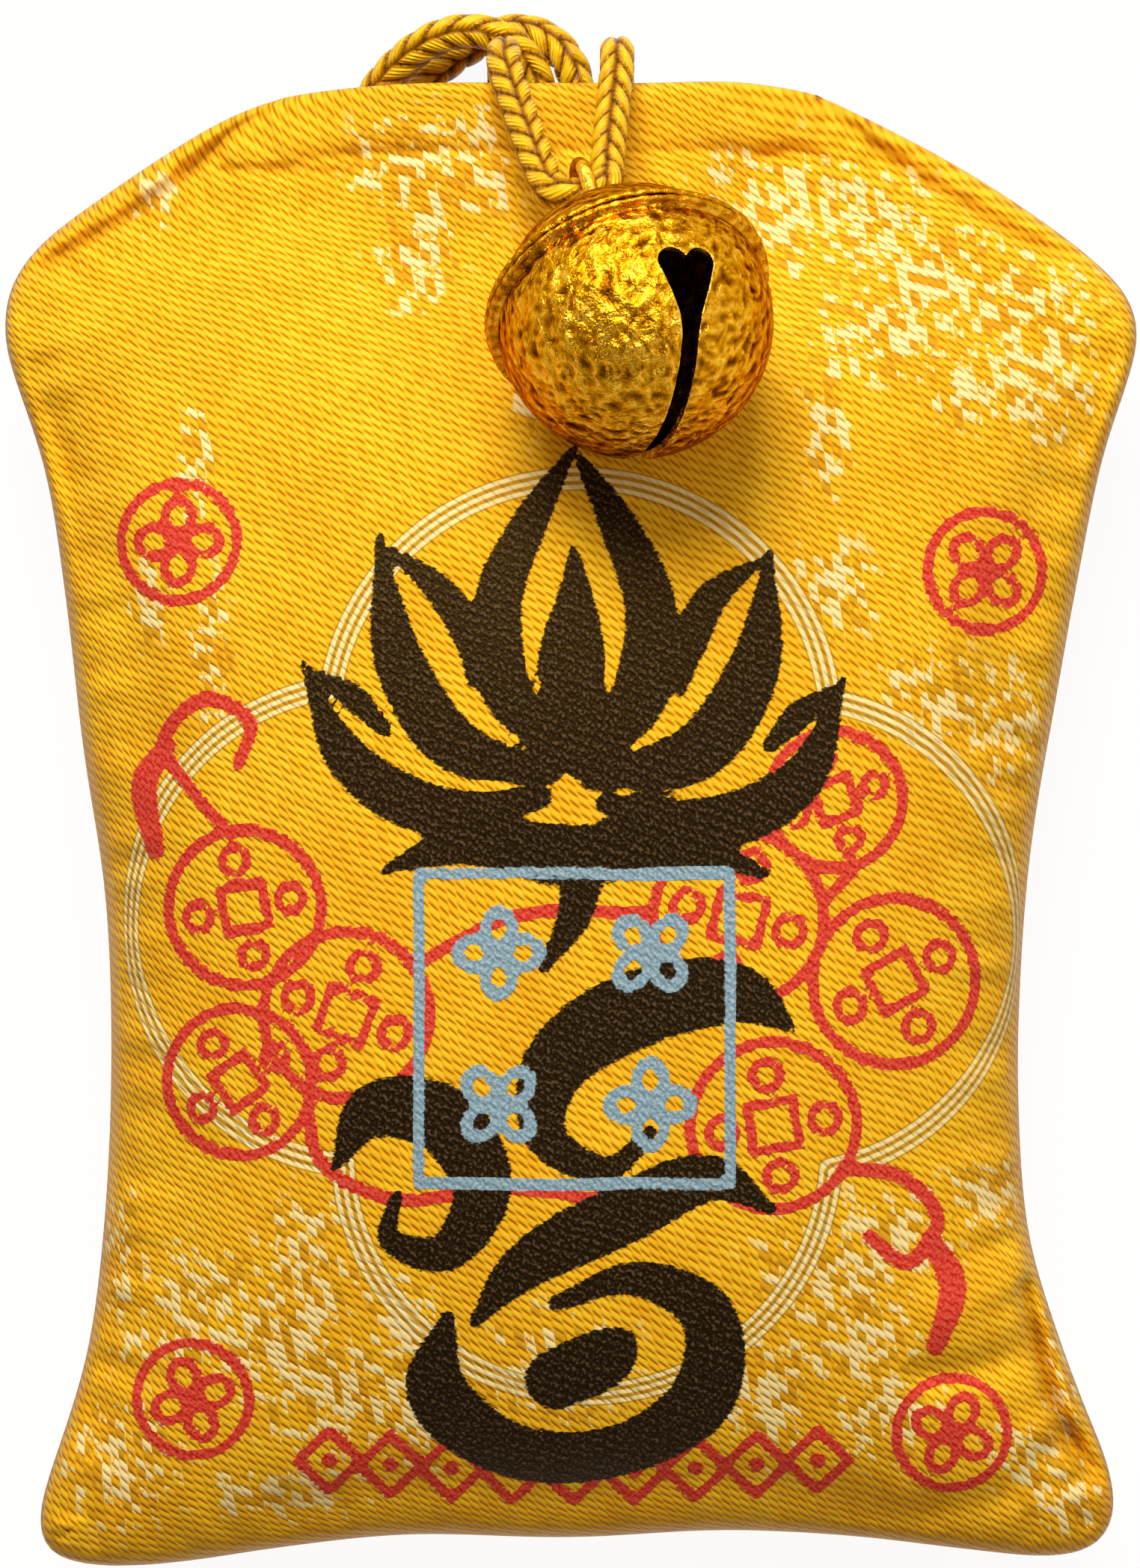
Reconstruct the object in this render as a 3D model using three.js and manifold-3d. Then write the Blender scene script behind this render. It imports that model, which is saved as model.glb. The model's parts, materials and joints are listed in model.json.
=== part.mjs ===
// A stuffed brocade amulet pouch that lies on its back. A round charm card sits in a paper sleeve
// between two pads of wadding. A hanging cord leaves the mouth and is folded away under it, and a
// jingle bell hangs on a second cord that comes over the front hem.
//
// Millimetres. X runs across the pouch, Y from its bottom edge to its mouth, Z up from the table.
// The origin lies on the table, under the middle of the pouch.

import * as THREE from 'three';
import { mergeVertices } from 'three/addons/utils/BufferGeometryUtils.js';
import Module from 'manifold-3d';

const wasm = await Module();
wasm.setup();

// Driving sizes of the pouch
const pouchWidth = 59.8;
const pouchLength = 78.3;
const frontCrown = 9.3;
const backCrown = 8.5;
const restCut = 0.5;
const clothWall = 0.6;
const hemWall = 0.9;
const hemDepth = 3.7;
const seamRim = 1.2;
const mouthDrop = 2.6;
const mouthDropStart = 22;
const clothGap = 0.3;

// Driving sizes of the cords
const cordDiameter = 1.85;
const cordGap = 0.3;
const legRowDrop = 0.5;
const hemBendRadius = 1.8;
const coilRadius = 6.8;
const coilStrandPitch = 2.3;
const coilRun = 8;
const coilRise = 1;
const coilX = -5;
const coilDrop = 4.15;
const knotSpan = 7;
const knotWidth = 4.4;
const knotHeight = 3.4;
const bellCordLeftX = -3.55;
const bellCordRightX = 2.4;
const mouthFade = 6;

// Driving sizes of the bell
const bellRadius = 7.05;
const bellWall = 0.4;
const seamOffset = 1.55;
const flangeReach = 0.62;
const flangeWall = 0.35;
const slitWidth = 0.92;
const keyholeWidth = 2.8;
const keyholeLength = 3.7;
const eyeWire = 0.85;
const eyeStrap = 0.8;
const footWidth = 2.6;
const footHeight = 0.63;
const metalGap = 0.1;
const pelletRadius = 1.9;
const pelletGap = 0.3;
const bellX = 3.25;
const bellDrop = 13.55;

// Driving sizes of the charm inside
const charmRadius = 17;
const charmWall = 0.6;
const sleeveSideGap = 2;
const sleeveEndGap = 8;
const sleeveWall = 0.3;
const sleeveCentreY = -3;

// One overrun for every cut
const overrun = 1.5;

// The bell's rest pose, in degrees
const bellLean = 20.3;
const bellPitch = -38.9;
const bellSpin = 30.2;
const shankTurn = -17.2;
const keyholeAngle = 66.8;

// Counts
const panelColumns = 20;
const panelRows = 24;
const paddingColumns = 10;
const paddingRows = 12;
const cordSides = 8;
const coilSteps = 64;
const legSteps = 26;
const bendSteps = 6;
const bendSlices = 20;
const bightSteps = 8;
const loopSteps = 30;
const bellSides = 32;
const bellRings = 8;
const ballSides = 16;
const ballRings = 12;
const cardSides = 48;
const foldSegments = 6;
const keyholeSegments = 10;
const slitSegments = 16;
const eyeSegments = 20;
const restSamples = 60;
const gapSamples = 400;

const radians = THREE.MathUtils.degToRad;
const cordRadius = cordDiameter / 2;
const halfGap = clothGap / 2;
const middle = 1 / 2;
const seamHeight = backCrown - restCut;
const mouthHeight = seamHeight - mouthDrop;
const mouthY = pouchLength / 2;
const coilY = mouthY - coilDrop;
const bellY = mouthY - bellDrop;

// Materials, one per piece
function finish(color, roughness, metalness = 0) {
  return new THREE.MeshStandardMaterial({ color, roughness, metalness });
}

const talisman = new THREE.Group();

function place(name, geometry, material, parent = talisman) {
  const mesh = new THREE.Mesh(geometry, material);
  mesh.name = name;
  parent.add(mesh);
  return mesh;
}

// Solids and booleans
function solidOf(geometry) {
  const bare = geometry.clone();
  bare.deleteAttribute('normal');
  bare.deleteAttribute('uv');
  const merged = mergeVertices(bare);
  const triVerts = new Uint32Array(merged.index.array);
  const vertProperties = new Float32Array(merged.attributes.position.array);
  return new wasm.Manifold(new wasm.Mesh({ numProp: 3, vertProperties, triVerts }));
}

function geometryOf(solid) {
  const mesh = solid.getMesh();
  const geometry = new THREE.BufferGeometry();
  geometry.setAttribute('position', new THREE.BufferAttribute(mesh.vertProperties, 3));
  geometry.setIndex(new THREE.BufferAttribute(mesh.triVerts, 1));
  return geometry;
}

// The pouch outline: four edges, as shares of the pouch's width and length
const leftEdgeShares = [
  [-0.463, -0.493], [-0.470, -0.472], [-0.462, -0.445], [-0.443, -0.402], [-0.425, -0.353],
  [-0.411, -0.268], [-0.405, -0.160], [-0.410, -0.051], [-0.430, 0.051], [-0.445, 0.150],
  [-0.463, 0.236], [-0.486, 0.290], [-0.499, 0.320], [-0.5, 0.340], [-0.497, 0.358], [-0.476, 0.385],
  [-0.405, 0.428], [-0.308, 0.475], [-0.259, 0.490],
];
const rightEdgeShares = [
  [0.462, -0.489], [0.478, -0.470], [0.474, -0.437], [0.450, -0.390], [0.423, -0.333],
  [0.402, -0.276], [0.393, -0.180], [0.396, -0.090], [0.405, -0.013], [0.428, 0.090],
  [0.446, 0.166], [0.468, 0.247], [0.490, 0.298], [0.5, 0.326], [0.494, 0.351],
  [0.460, 0.380], [0.350, 0.440], [0.217, 0.493],
];
const bottomEdgeShares = [
  [-0.463, -0.493], [-0.421, -0.5], [-0.350, -0.498], [-0.260, -0.488], [-0.147, -0.479],
  [0, -0.481], [0.134, -0.476], [0.247, -0.480], [0.350, -0.489], [0.425, -0.494], [0.462, -0.489],
];
const topEdgeShares = [
  [-0.259, 0.490], [-0.187, 0.497], [-0.067, 0.498], [0.089, 0.498], [0.150, 0.5], [0.217, 0.493],
];

function edgeCurve(shares) {
  const points = shares.map(([x, y]) => new THREE.Vector3(x * pouchWidth, y * pouchLength, 0));
  return new THREE.CatmullRomCurve3(points, false, 'centripetal');
}

const edges = {
  left: edgeCurve(leftEdgeShares),
  right: edgeCurve(rightEdgeShares),
  bottom: edgeCurve(bottomEdgeShares),
  top: edgeCurve(topEdgeShares),
};

// A point of the pouch's plan from two shares, across and along, blended from its four edges
function planPoint(across, along) {
  const left = edges.left.getPointAt(along);
  const right = edges.right.getPointAt(along);
  const bottom = edges.bottom.getPointAt(across);
  const top = edges.top.getPointAt(across);
  const sides = left.clone().lerp(right, across);
  const ends = bottom.clone().lerp(top, along);
  const low = edges.left.getPointAt(0).lerp(edges.right.getPointAt(0), across);
  const high = edges.left.getPointAt(1).lerp(edges.right.getPointAt(1), across);
  return sides.add(ends).sub(low.lerp(high, along));
}

// Heights of the two faces over the plan
const sideFullness = 3;
const sideSoftness = 0.6;
const frontTopFullness = 2;
const frontTopSoftness = 0.95;
const backTopSoftness = 1;

function fullness(share, power, softness) {
  const fromMiddle = Math.min(1, Math.abs(2 * share - 1));
  return (1 - fromMiddle ** power) ** softness;
}

// How far a point lies from the bottom edge to the stitched hem, as a share
function lengthShare(across, y) {
  const low = edges.bottom.getPointAt(across).y;
  const high = edges.top.getPointAt(across).y - hemDepth;
  return THREE.MathUtils.clamp((y - low) / (high - low), 0, 1);
}

function frontFullness(across, y) {
  const length = lengthShare(across, y);
  const upper = 2 * length > 1;
  const power = upper ? frontTopFullness : sideFullness;
  const softness = upper ? frontTopSoftness : sideSoftness;
  return fullness(across, sideFullness, sideSoftness) * fullness(length, power, softness);
}

function backFullness(across, y) {
  const length = lengthShare(across, y);
  const softness = 2 * length > 1 ? backTopSoftness : sideSoftness;
  return fullness(across, sideFullness, sideSoftness) * fullness(length, sideFullness, softness);
}

// The seam drops a little towards the mouth
function seamZ(y) {
  return seamHeight - mouthDrop * THREE.MathUtils.smoothstep(y, mouthDropStart, mouthY - hemDepth);
}

// The mouth opens round the four cord legs, which cross it in two rows
const slotHalf = legRowDrop + cordRadius + cordGap + halfGap;
const slotX = (bellCordLeftX + bellCordRightX) / 2;
const slotFlat = (bellCordRightX - bellCordLeftX + 3 * cordDiameter) / 2;
const slotFadeStart = mouthY - hemDepth;
const slotFadeEnd = slotFadeStart - 2 * hemDepth;

function slotZ(x, y) {
  const away = Math.abs(x - slotX);
  const beside = THREE.MathUtils.smoothstep(away, slotFlat, slotFlat + mouthFade);
  const behind = THREE.MathUtils.smoothstep(y, slotFadeEnd, slotFadeStart);
  return halfGap + (slotHalf - halfGap) * (1 - beside) * behind;
}

// The cloth thickens where it is turned in
function wallAt(y) {
  const turnedIn = THREE.MathUtils.smoothstep(y, mouthY - 2 * hemDepth, mouthY - hemDepth);
  return THREE.MathUtils.lerp(clothWall, hemWall, turnedIn);
}

function frontInside(across, x, y) {
  return seamZ(y) + slotZ(x, y) + (frontCrown - clothWall - halfGap) * frontFullness(across, y);
}

function frontOutside(across, x, y) {
  return frontInside(across, x, y) + wallAt(y);
}

function backInside(across, x, y) {
  const height = seamZ(y) - slotZ(x, y) - (backCrown - clothWall - halfGap) * backFullness(across, y);
  return Math.max(clothWall, height);
}

function backOutside(across, x, y) {
  return Math.max(0, backInside(across, x, y) - wallAt(y));
}

// Evenly turned steps, closer together at both ends
function turnedShare(index, count) {
  return (1 - Math.cos(Math.PI * index / count)) / 2;
}

// A closed wall between two grids of points. Rings between their borders make the rim.
function wallGeometry(columns, rows, outerPoint, innerPoint, rimPoints, outsideUp) {
  const positions = [];
  const index = [];
  const border = [];
  for (let i = 0; i < columns; i += 1) {
    border.push([i, 0]);
  }
  for (let j = 0; j < rows; j += 1) {
    border.push([columns, j]);
  }
  for (let i = columns; i > 0; i -= 1) {
    border.push([i, rows]);
  }
  for (let j = rows; j > 0; j -= 1) {
    border.push([0, j]);
  }

  function addGrid(pointAt) {
    const start = positions.length / 3;
    for (let j = 0; j <= rows; j += 1) {
      for (let i = 0; i <= columns; i += 1) {
        positions.push(...pointAt(turnedShare(i, columns), turnedShare(j, rows)).toArray());
      }
    }
    return start;
  }

  function addTriangle(a, b, c, flip) {
    index.push(a);
    index.push(flip ? c : b);
    index.push(flip ? b : c);
  }

  function addSheet(start, flip) {
    for (let j = 0; j < rows; j += 1) {
      for (let i = 0; i < columns; i += 1) {
        const a = start + j * (columns + 1) + i;
        const b = a + 1;
        const c = a + columns + 2;
        const d = a + columns + 1;
        addTriangle(a, b, c, flip);
        addTriangle(a, c, d, flip);
      }
    }
  }

  const outer = addGrid(outerPoint);
  const inner = addGrid(innerPoint);
  addSheet(outer, !outsideUp);
  addSheet(inner, outsideUp);

  const gridRing = (start) => border.map(([i, j]) => start + j * (columns + 1) + i);
  const rings = [gridRing(outer)];
  for (const rimPoint of rimPoints) {
    rings.push(border.map(([i, j]) => {
      positions.push(...rimPoint(turnedShare(i, columns), turnedShare(j, rows)).toArray());
      return positions.length / 3 - 1;
    }));
  }
  rings.push(gridRing(inner));
  for (let r = 0; r + 1 < rings.length; r += 1) {
    for (let k = 0; k < border.length; k += 1) {
      const next = (k + 1) % border.length;
      addTriangle(rings[r][k], rings[r + 1][k], rings[r + 1][next], !outsideUp);
      addTriangle(rings[r][k], rings[r + 1][next], rings[r][next], !outsideUp);
    }
  }

  const geometry = new THREE.BufferGeometry();
  geometry.setAttribute('position', new THREE.Float32BufferAttribute(positions, 3));
  geometry.setIndex(index);
  return geometry;
}

// Brocade panels: a crowned shell with a sewn rim, and a turned-in hem along the mouth
const rimScaleX = 1 - 2 * seamRim / pouchWidth;
const rimScaleY = 1 - 2 * seamRim / pouchLength;

function panelGeometry(outside, inside, rimLevel, outsideUp) {
  const outer = (across, along) => {
    const point = planPoint(across, along);
    point.z = outside(across, point.x, point.y);
    return point;
  };
  const inner = (across, along) => {
    const point = planPoint(across, along);
    point.z = inside(across, point.x, point.y);
    point.x *= rimScaleX;
    point.y *= rimScaleY;
    return point;
  };
  const rim = (across, along) => {
    const point = planPoint(across, along);
    point.z = rimLevel(point.x, point.y);
    return point;
  };
  return wallGeometry(panelColumns, panelRows, outer, inner, [rim], outsideUp);
}

const frontRim = (x, y) => seamZ(y) + slotZ(x, y);
const backRim = (x, y) => seamZ(y) - slotZ(x, y);
place('front_panel', panelGeometry(frontOutside, frontInside, frontRim, true), finish(0xf2b01e, 0.55));
place('back_panel', panelGeometry(backOutside, backInside, backRim, false), finish(0xf2b01e, 0.55));

// The charm: a round card in a folded paper sleeve, flat in the seam plane
const sleeveInside = charmWall + 2 * clothGap;
const sleeveHeight = sleeveInside + 2 * sleeveWall;
const sleeveWidth = 2 * (charmRadius + sleeveSideGap);
const sleeveLength = 2 * (charmRadius + sleeveEndGap);

function sleeveGeometry() {
  const fold = sleeveHeight / 2;
  const straight = sleeveLength - fold;
  const shape = new THREE.Shape();
  shape.moveTo(straight, fold);
  shape.lineTo(0, fold);
  shape.absarc(0, 0, fold, Math.PI / 2, 1.5 * Math.PI, false);
  shape.lineTo(straight, -fold);
  shape.lineTo(straight, -fold + sleeveWall);
  shape.lineTo(0, -fold + sleeveWall);
  shape.absarc(0, 0, fold - sleeveWall, 1.5 * Math.PI, Math.PI / 2, true);
  shape.lineTo(straight, fold - sleeveWall);
  const options = { depth: sleeveWidth, bevelEnabled: false, curveSegments: foldSegments };
  const geometry = new THREE.ExtrudeGeometry(shape, options);
  geometry.translate(fold - sleeveLength / 2, 0, -sleeveWidth / 2);
  geometry.rotateX(Math.PI / 2);
  geometry.rotateZ(Math.PI / 2);
  return geometry;
}

const charmCard = new THREE.CylinderGeometry(charmRadius, charmRadius, charmWall, cardSides);
charmCard.rotateX(Math.PI / 2);
place('charm_card', charmCard, finish(0xd9b36a, 0.8)).position.set(0, sleeveCentreY, seamHeight);
place('charm_sleeve', sleeveGeometry(), finish(0xf4efe2, 0.85)).position.set(0, sleeveCentreY, seamHeight);

// Wadding in front of the charm and behind it
const paddingSideShare = 0.06;
const paddingBottomShare = 0.05;
const paddingTopShare = 0.69;
const paddingFace = sleeveHeight / 2 + clothGap;

function paddingGeometry(inside, gap, face, outsideUp) {
  const spread = (across, along) => [
    THREE.MathUtils.lerp(paddingSideShare, 1 - paddingSideShare, across),
    THREE.MathUtils.lerp(paddingBottomShare, paddingTopShare, along),
  ];
  const outer = (across, along) => {
    const [s, t] = spread(across, along);
    const point = planPoint(s, t);
    point.z = inside(s, point.x, point.y) + gap;
    point.x *= rimScaleX;
    point.y *= rimScaleY;
    return point;
  };
  const inner = (across, along) => {
    const [s, t] = spread(across, along);
    const point = planPoint(s, t);
    point.x *= rimScaleX;
    point.y *= rimScaleY;
    point.z = seamHeight + face;
    return point;
  };
  return wallGeometry(paddingColumns, paddingRows, outer, inner, [], outsideUp);
}

const frontPadding = paddingGeometry(frontInside, -clothGap, paddingFace, true);
const backPadding = paddingGeometry(backInside, clothGap, -paddingFace, false);
place('filling_front', frontPadding, finish(0xf7f5ef, 0.95));
place('filling_back', backPadding, finish(0xf7f5ef, 0.95));

// Cords
const cordFinish = () => finish(0xe0a800, 0.45);

function cordGeometry(curve, steps) {
  const section = new THREE.Shape();
  for (let k = 0; k < cordSides; k += 1) {
    const angle = 2 * Math.PI * k / cordSides;
    const x = cordRadius * Math.cos(angle);
    const y = cordRadius * Math.sin(angle);
    if (k === 0) {
      section.moveTo(x, y);
    } else {
      section.lineTo(x, y);
    }
  }
  section.closePath();
  return new THREE.ExtrudeGeometry(section, { steps, extrudePath: curve, bevelEnabled: false });
}

function cordCurve(points) {
  return new THREE.CatmullRomCurve3(points, false, 'centripetal');
}

// Heights of the mouth: the bell cord's strands lie in the upper row, the hanging cord's in the lower
const strandRowZ = mouthHeight + legRowDrop;
const lipZ = mouthHeight + slotHalf + hemWall / 2;
const lipY = mouthY - hemWall / 2;
const knotY = mouthY - 2 * hemDepth - 2 * cordDiameter - knotWidth / 2;

// The hanging cord's coil on the table: out along the outer line, round a bight, and back inside it
const coilZ = cordRadius;
const coilInnerRadius = coilRadius - coilStrandPitch;
const coilStraight = cordDiameter;
const coilBendRadius = 2 * cordDiameter;

class CoilCurve extends THREE.Curve {
  constructor() {
    super();
    const topY = coilY - cordGap / 2;
    const lowY = topY - coilStraight;
    const farX = coilX + coilRun;
    const outerX = farX + coilRadius;
    const bendX = outerX - coilBendRadius;
    const bendY = lowY + coilRise;
    const innerX = bendX - coilBendRadius;
    const innerFarX = innerX - coilInnerRadius;
    this.pieces = [
      this.line(coilX - coilRadius, topY, coilX - coilRadius, lowY),
      this.arc(coilX, lowY, coilRadius, Math.PI, 1.5 * Math.PI),
      this.line(coilX, lowY - coilRadius, farX, lowY - coilRadius),
      this.arc(farX, lowY, coilRadius, 1.5 * Math.PI, 2 * Math.PI),
      this.line(outerX, lowY, outerX, bendY),
      this.arc(bendX, bendY, coilBendRadius, 0, Math.PI),
      this.line(innerX, bendY, innerX, lowY),
      this.arc(innerFarX, lowY, coilInnerRadius, 2 * Math.PI, 1.5 * Math.PI),
      this.line(innerFarX, lowY - coilInnerRadius, coilX, lowY - coilInnerRadius),
      this.arc(coilX, lowY, coilInnerRadius, 1.5 * Math.PI, Math.PI),
      this.line(coilX - coilInnerRadius, lowY, coilX - coilInnerRadius, topY),
    ];
    this.total = this.pieces.reduce((sum, piece) => sum + piece.length, 0);
  }

  line(x0, y0, x1, y1) {
    const length = Math.hypot(x1 - x0, y1 - y0);
    const at = (share) => new THREE.Vector3(
      THREE.MathUtils.lerp(x0, x1, share),
      THREE.MathUtils.lerp(y0, y1, share),
      coilZ,
    );
    return { length, at };
  }

  arc(x, y, radius, from, to) {
    const length = radius * Math.abs(to - from);
    const at = (share) => {
      const angle = THREE.MathUtils.lerp(from, to, share);
      return new THREE.Vector3(x + radius * Math.cos(angle), y + radius * Math.sin(angle), coilZ);
    };
    return { length, at };
  }

  getPoint(share, target = new THREE.Vector3()) {
    let left = share * this.total;
    for (const piece of this.pieces) {
      if (left <= piece.length) {
        return target.copy(piece.at(left / piece.length));
      }
      left -= piece.length;
    }
    const last = this.pieces[this.pieces.length - 1];
    return target.copy(last.at(1));
  }
}

const coilCurve = new CoilCurve();
place('hanging_cord_coil', cordGeometry(coilCurve, coilSteps), cordFinish());

// Least gap of the coil to itself, on points farther apart along the cord than its tightest bend's radius
function leastGap(curve) {
  const points = curve.getPoints(gapSamples);
  const apart = Math.ceil(gapSamples * coilBendRadius / curve.total);
  let least = Infinity;
  for (let i = 0; i <= gapSamples; i += 1) {
    for (let j = i + apart; j <= gapSamples; j += 1) {
      least = Math.min(least, points[i].distanceTo(points[j]));
    }
  }
  return least - cordDiameter;
}

console.log(`hanging_cord_coil: least gap to itself ${leastGap(coilCurve).toFixed(2)} mm`);

// The hanging cord's two legs: out of the mouth, over to the left and down to the coil
const coilStartY = coilY + cordGap / 2;
const leftLegPoints = [
  [-1.65, 28.3, 5.0],
  [-1.65, 32.0, 4.9],
  [-1.65, 36.5, 4.9],
  [-1.65, 39.0, 4.95],
  [-2.05, 40.4, 5.15],
  [-3.05, 41.4, 5.3],
  [-4.7, 41.85, 5.2],
  [-6.4, 41.65, 4.7],
  [-8.2, 40.85, 3.9],
  [-9.9, 39.6, 2.85],
  [-11.1, 37.9, 1.7],
  [-11.7, 36.5, 1.05],
  [coilX - coilRadius, coilStartY, coilZ],
];
const rightLegPoints = [
  [0.5, 28.3, 5.0],
  [0.5, 32.0, 4.9],
  [0.5, 36.5, 4.9],
  [0.5, 39.0, 4.8],
  [0.3, 40.4, 4.5],
  [-0.4, 41.6, 4.0],
  [-1.7, 42.1, 3.2],
  [-3.4, 41.6, 2.3],
  [-5.0, 40.7, 1.55],
  [-6.6, 39.6, 1.1],
  [-8.0, 38.3, 0.95],
  [-9.0, 36.9, 0.925],
  [-9.4, 35.9, 0.925],
  [coilX - coilInnerRadius, coilStartY, coilZ],
];

function routeCurve(points) {
  return cordCurve(points.map((point) => new THREE.Vector3(...point)));
}

place('hanging_cord_left_leg', cordGeometry(routeCurve(leftLegPoints), legSteps), cordFinish());
place('hanging_cord_right_leg', cordGeometry(routeCurve(rightLegPoints), legSteps), cordFinish());

// Knots that hold both cords behind the stitched hem
function knotGeometry() {
  const geometry = new THREE.SphereGeometry(1 / 2, ballSides, ballRings);
  geometry.scale(knotSpan, knotWidth, knotHeight);
  return geometry;
}

const knotX = slotX;
const knotMiddleZ = (frontInside(middle, knotX, knotY) + backInside(middle, knotX, knotY)) / 2;
const strandKnotZ = knotMiddleZ + knotHeight / 2 + cordGap / 2;
const legKnotZ = knotMiddleZ - knotHeight / 2 - cordGap / 2;
place('bell_cord_knot', knotGeometry(), cordFinish()).position.set(knotX, knotY, strandKnotZ);
place('hanging_cord_knot', knotGeometry(), cordFinish()).position.set(knotX, knotY, legKnotZ);

// The bell rests on the front face: the lowest height at which its cups and flange clear the cloth
function bellRestHeight() {
  let height = 0;
  for (let j = 0; j <= restSamples; j += 1) {
    for (let i = 0; i <= restSamples; i += 1) {
      const across = i / restSamples;
      const along = j / restSamples;
      const point = planPoint(across, along);
      const away = Math.hypot(point.x - bellX, point.y - bellY);
      const reach = bellRadius + flangeReach / 2 + clothGap;
      if (away < reach) {
        const face = frontOutside(across, point.x, point.y);
        height = Math.max(height, face + Math.sqrt(reach ** 2 - away ** 2));
      }
    }
  }
  return height;
}

const bellCentre = new THREE.Vector3(bellX, bellY, bellRestHeight());
const bellTurn = new THREE.Euler(radians(bellPitch), radians(bellSpin), radians(bellLean), 'ZXY');
const bell = new THREE.Group();
bell.position.copy(bellCentre);
bell.rotation.copy(bellTurn);
talisman.add(bell);
const bellFinish = () => finish(0xd9a21a, 0.28, 1);

// In the bell's own frame +Y points to the shank, and the slit lies in its YZ plane
const innerRadius = bellRadius - bellWall;
const flangeRadius = Math.sqrt(bellRadius ** 2 - seamOffset ** 2) + flangeReach;

function arcPoints(radius, from, to, count) {
  const points = [];
  for (let k = 0; k <= count; k += 1) {
    const angle = THREE.MathUtils.lerp(from, to, k / count);
    const onAxis = Math.abs(angle) === Math.PI / 2;
    points.push(new THREE.Vector2(onAxis ? 0 : radius * Math.cos(angle), radius * Math.sin(angle)));
  }
  return points;
}

function cupGeometry(pole) {
  const seam = seamOffset + pole * metalGap / 2;
  const flange = seam + pole * flangeWall;
  const outer = arcPoints(bellRadius, pole * Math.PI / 2, Math.asin(flange / bellRadius), bellRings);
  const inner = arcPoints(innerRadius, Math.asin(seam / innerRadius), pole * Math.PI / 2, bellRings);
  const rim = [new THREE.Vector2(flangeRadius, flange), new THREE.Vector2(flangeRadius, seam)];
  const profile = [...outer, ...rim, ...inner];
  if (pole > 0) {
    profile.reverse();
  }
  return new THREE.LatheGeometry(profile, bellSides);
}

// A keyhole: a round head that narrows to the slit, cut straight out from the bell's centre
function keyholeGeometry(side) {
  const head = keyholeWidth / 2;
  const tail = keyholeLength - head;
  const shape = new THREE.Shape();
  shape.moveTo(-slitWidth / 2, -tail);
  shape.lineTo(slitWidth / 2, -tail);
  shape.lineTo(head, 0);
  shape.absarc(0, 0, head, 0, Math.PI, false);
  const options = { depth: bellRadius + overrun, bevelEnabled: false, curveSegments: keyholeSegments };
  const geometry = new THREE.ExtrudeGeometry(shape, options);
  geometry.rotateX(Math.PI / 2 - radians(keyholeAngle));
  if (side < 0) {
    geometry.rotateY(Math.PI);
  }
  return geometry;
}

function slitGeometry() {
  const depth = bellRadius + overrun;
  const shape = new THREE.Shape();
  const half = radians(keyholeAngle);
  shape.moveTo(0, 0);
  shape.absarc(0, 0, depth, -Math.PI / 2 - half, -Math.PI / 2 + half, false);
  const options = { depth: slitWidth, bevelEnabled: false, curveSegments: slitSegments };
  const geometry = new THREE.ExtrudeGeometry(shape, options);
  geometry.translate(0, 0, -slitWidth / 2);
  geometry.rotateY(-Math.PI / 2);
  return geometry;
}

const lowerCup = solidOf(cupGeometry(-1))
  .subtract(solidOf(slitGeometry()))
  .subtract(solidOf(keyholeGeometry(1)))
  .subtract(solidOf(keyholeGeometry(-1)));
place('bell_lower_cup', geometryOf(lowerCup), bellFinish(), bell);
place('bell_upper_cup', cupGeometry(1), bellFinish(), bell);

// The shank: a flat eye on a splayed foot
const eyeHole = cordRadius + cordGap;
const eyeRadius = eyeHole + eyeWire;
const shankBase = bellRadius + metalGap;
const halfFoot = footWidth / 2;
const shoulder = Math.acos(halfFoot / eyeRadius);
const eyeHeight = shankBase + footHeight + eyeRadius * Math.sin(shoulder);

function shankGeometry() {
  const shape = new THREE.Shape();
  shape.moveTo(-halfFoot, shankBase);
  shape.lineTo(halfFoot, shankBase);
  shape.absarc(0, eyeHeight, eyeRadius, -shoulder, Math.PI + shoulder, false);
  const hole = new THREE.Path();
  hole.absarc(0, eyeHeight, eyeHole, 0, 2 * Math.PI, true);
  shape.holes.push(hole);
  const options = { depth: eyeStrap, bevelEnabled: false, curveSegments: eyeSegments };
  const geometry = new THREE.ExtrudeGeometry(shape, options);
  geometry.translate(0, 0, -eyeStrap / 2);
  geometry.rotateY(Math.PI / 2);
  return geometry;
}

const shank = place('bell_shank', shankGeometry(), bellFinish(), bell);
shank.rotation.y = radians(shankTurn);

// The pellet lies at the lowest point inside
const pellet = new THREE.SphereGeometry(pelletRadius, ballSides, ballRings);
const pelletDrop = innerRadius - pelletRadius - pelletGap;
place('bell_pellet', pellet, finish(0x8d8f92, 0.35, 1)).position.copy(bellCentre).z -= pelletDrop;

// The bell cord: through the eye, and over the front hem on both sides
const eyeCentre = new THREE.Vector3(0, eyeHeight, 0).applyEuler(bellTurn).add(bellCentre);
const holeAxis = new THREE.Vector3(1, 0, 0)
  .applyAxisAngle(new THREE.Vector3(0, 1, 0), radians(shankTurn))
  .applyEuler(bellTurn);
const bightRadius = eyeStrap / 2 + cordGap + cordRadius;
const lipMiddle = new THREE.Vector3((bellCordLeftX + bellCordRightX) / 2, lipY, lipZ);
const towardsLip = lipMiddle.clone().sub(eyeCentre).projectOnPlane(holeAxis).normalize();

// Where a strand leaves the hem's bend, for a strand that runs to the given point
function bendAngle(target) {
  const away = Math.hypot(target.y - lipY, target.z - lipZ);
  return Math.atan2(target.z - lipZ, target.y - lipY) + Math.asin(hemBendRadius / away);
}

function bendPoint(x, angle) {
  const y = lipY + hemBendRadius * Math.sin(angle);
  return new THREE.Vector3(x, y, lipZ - hemBendRadius * Math.cos(angle));
}

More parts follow.
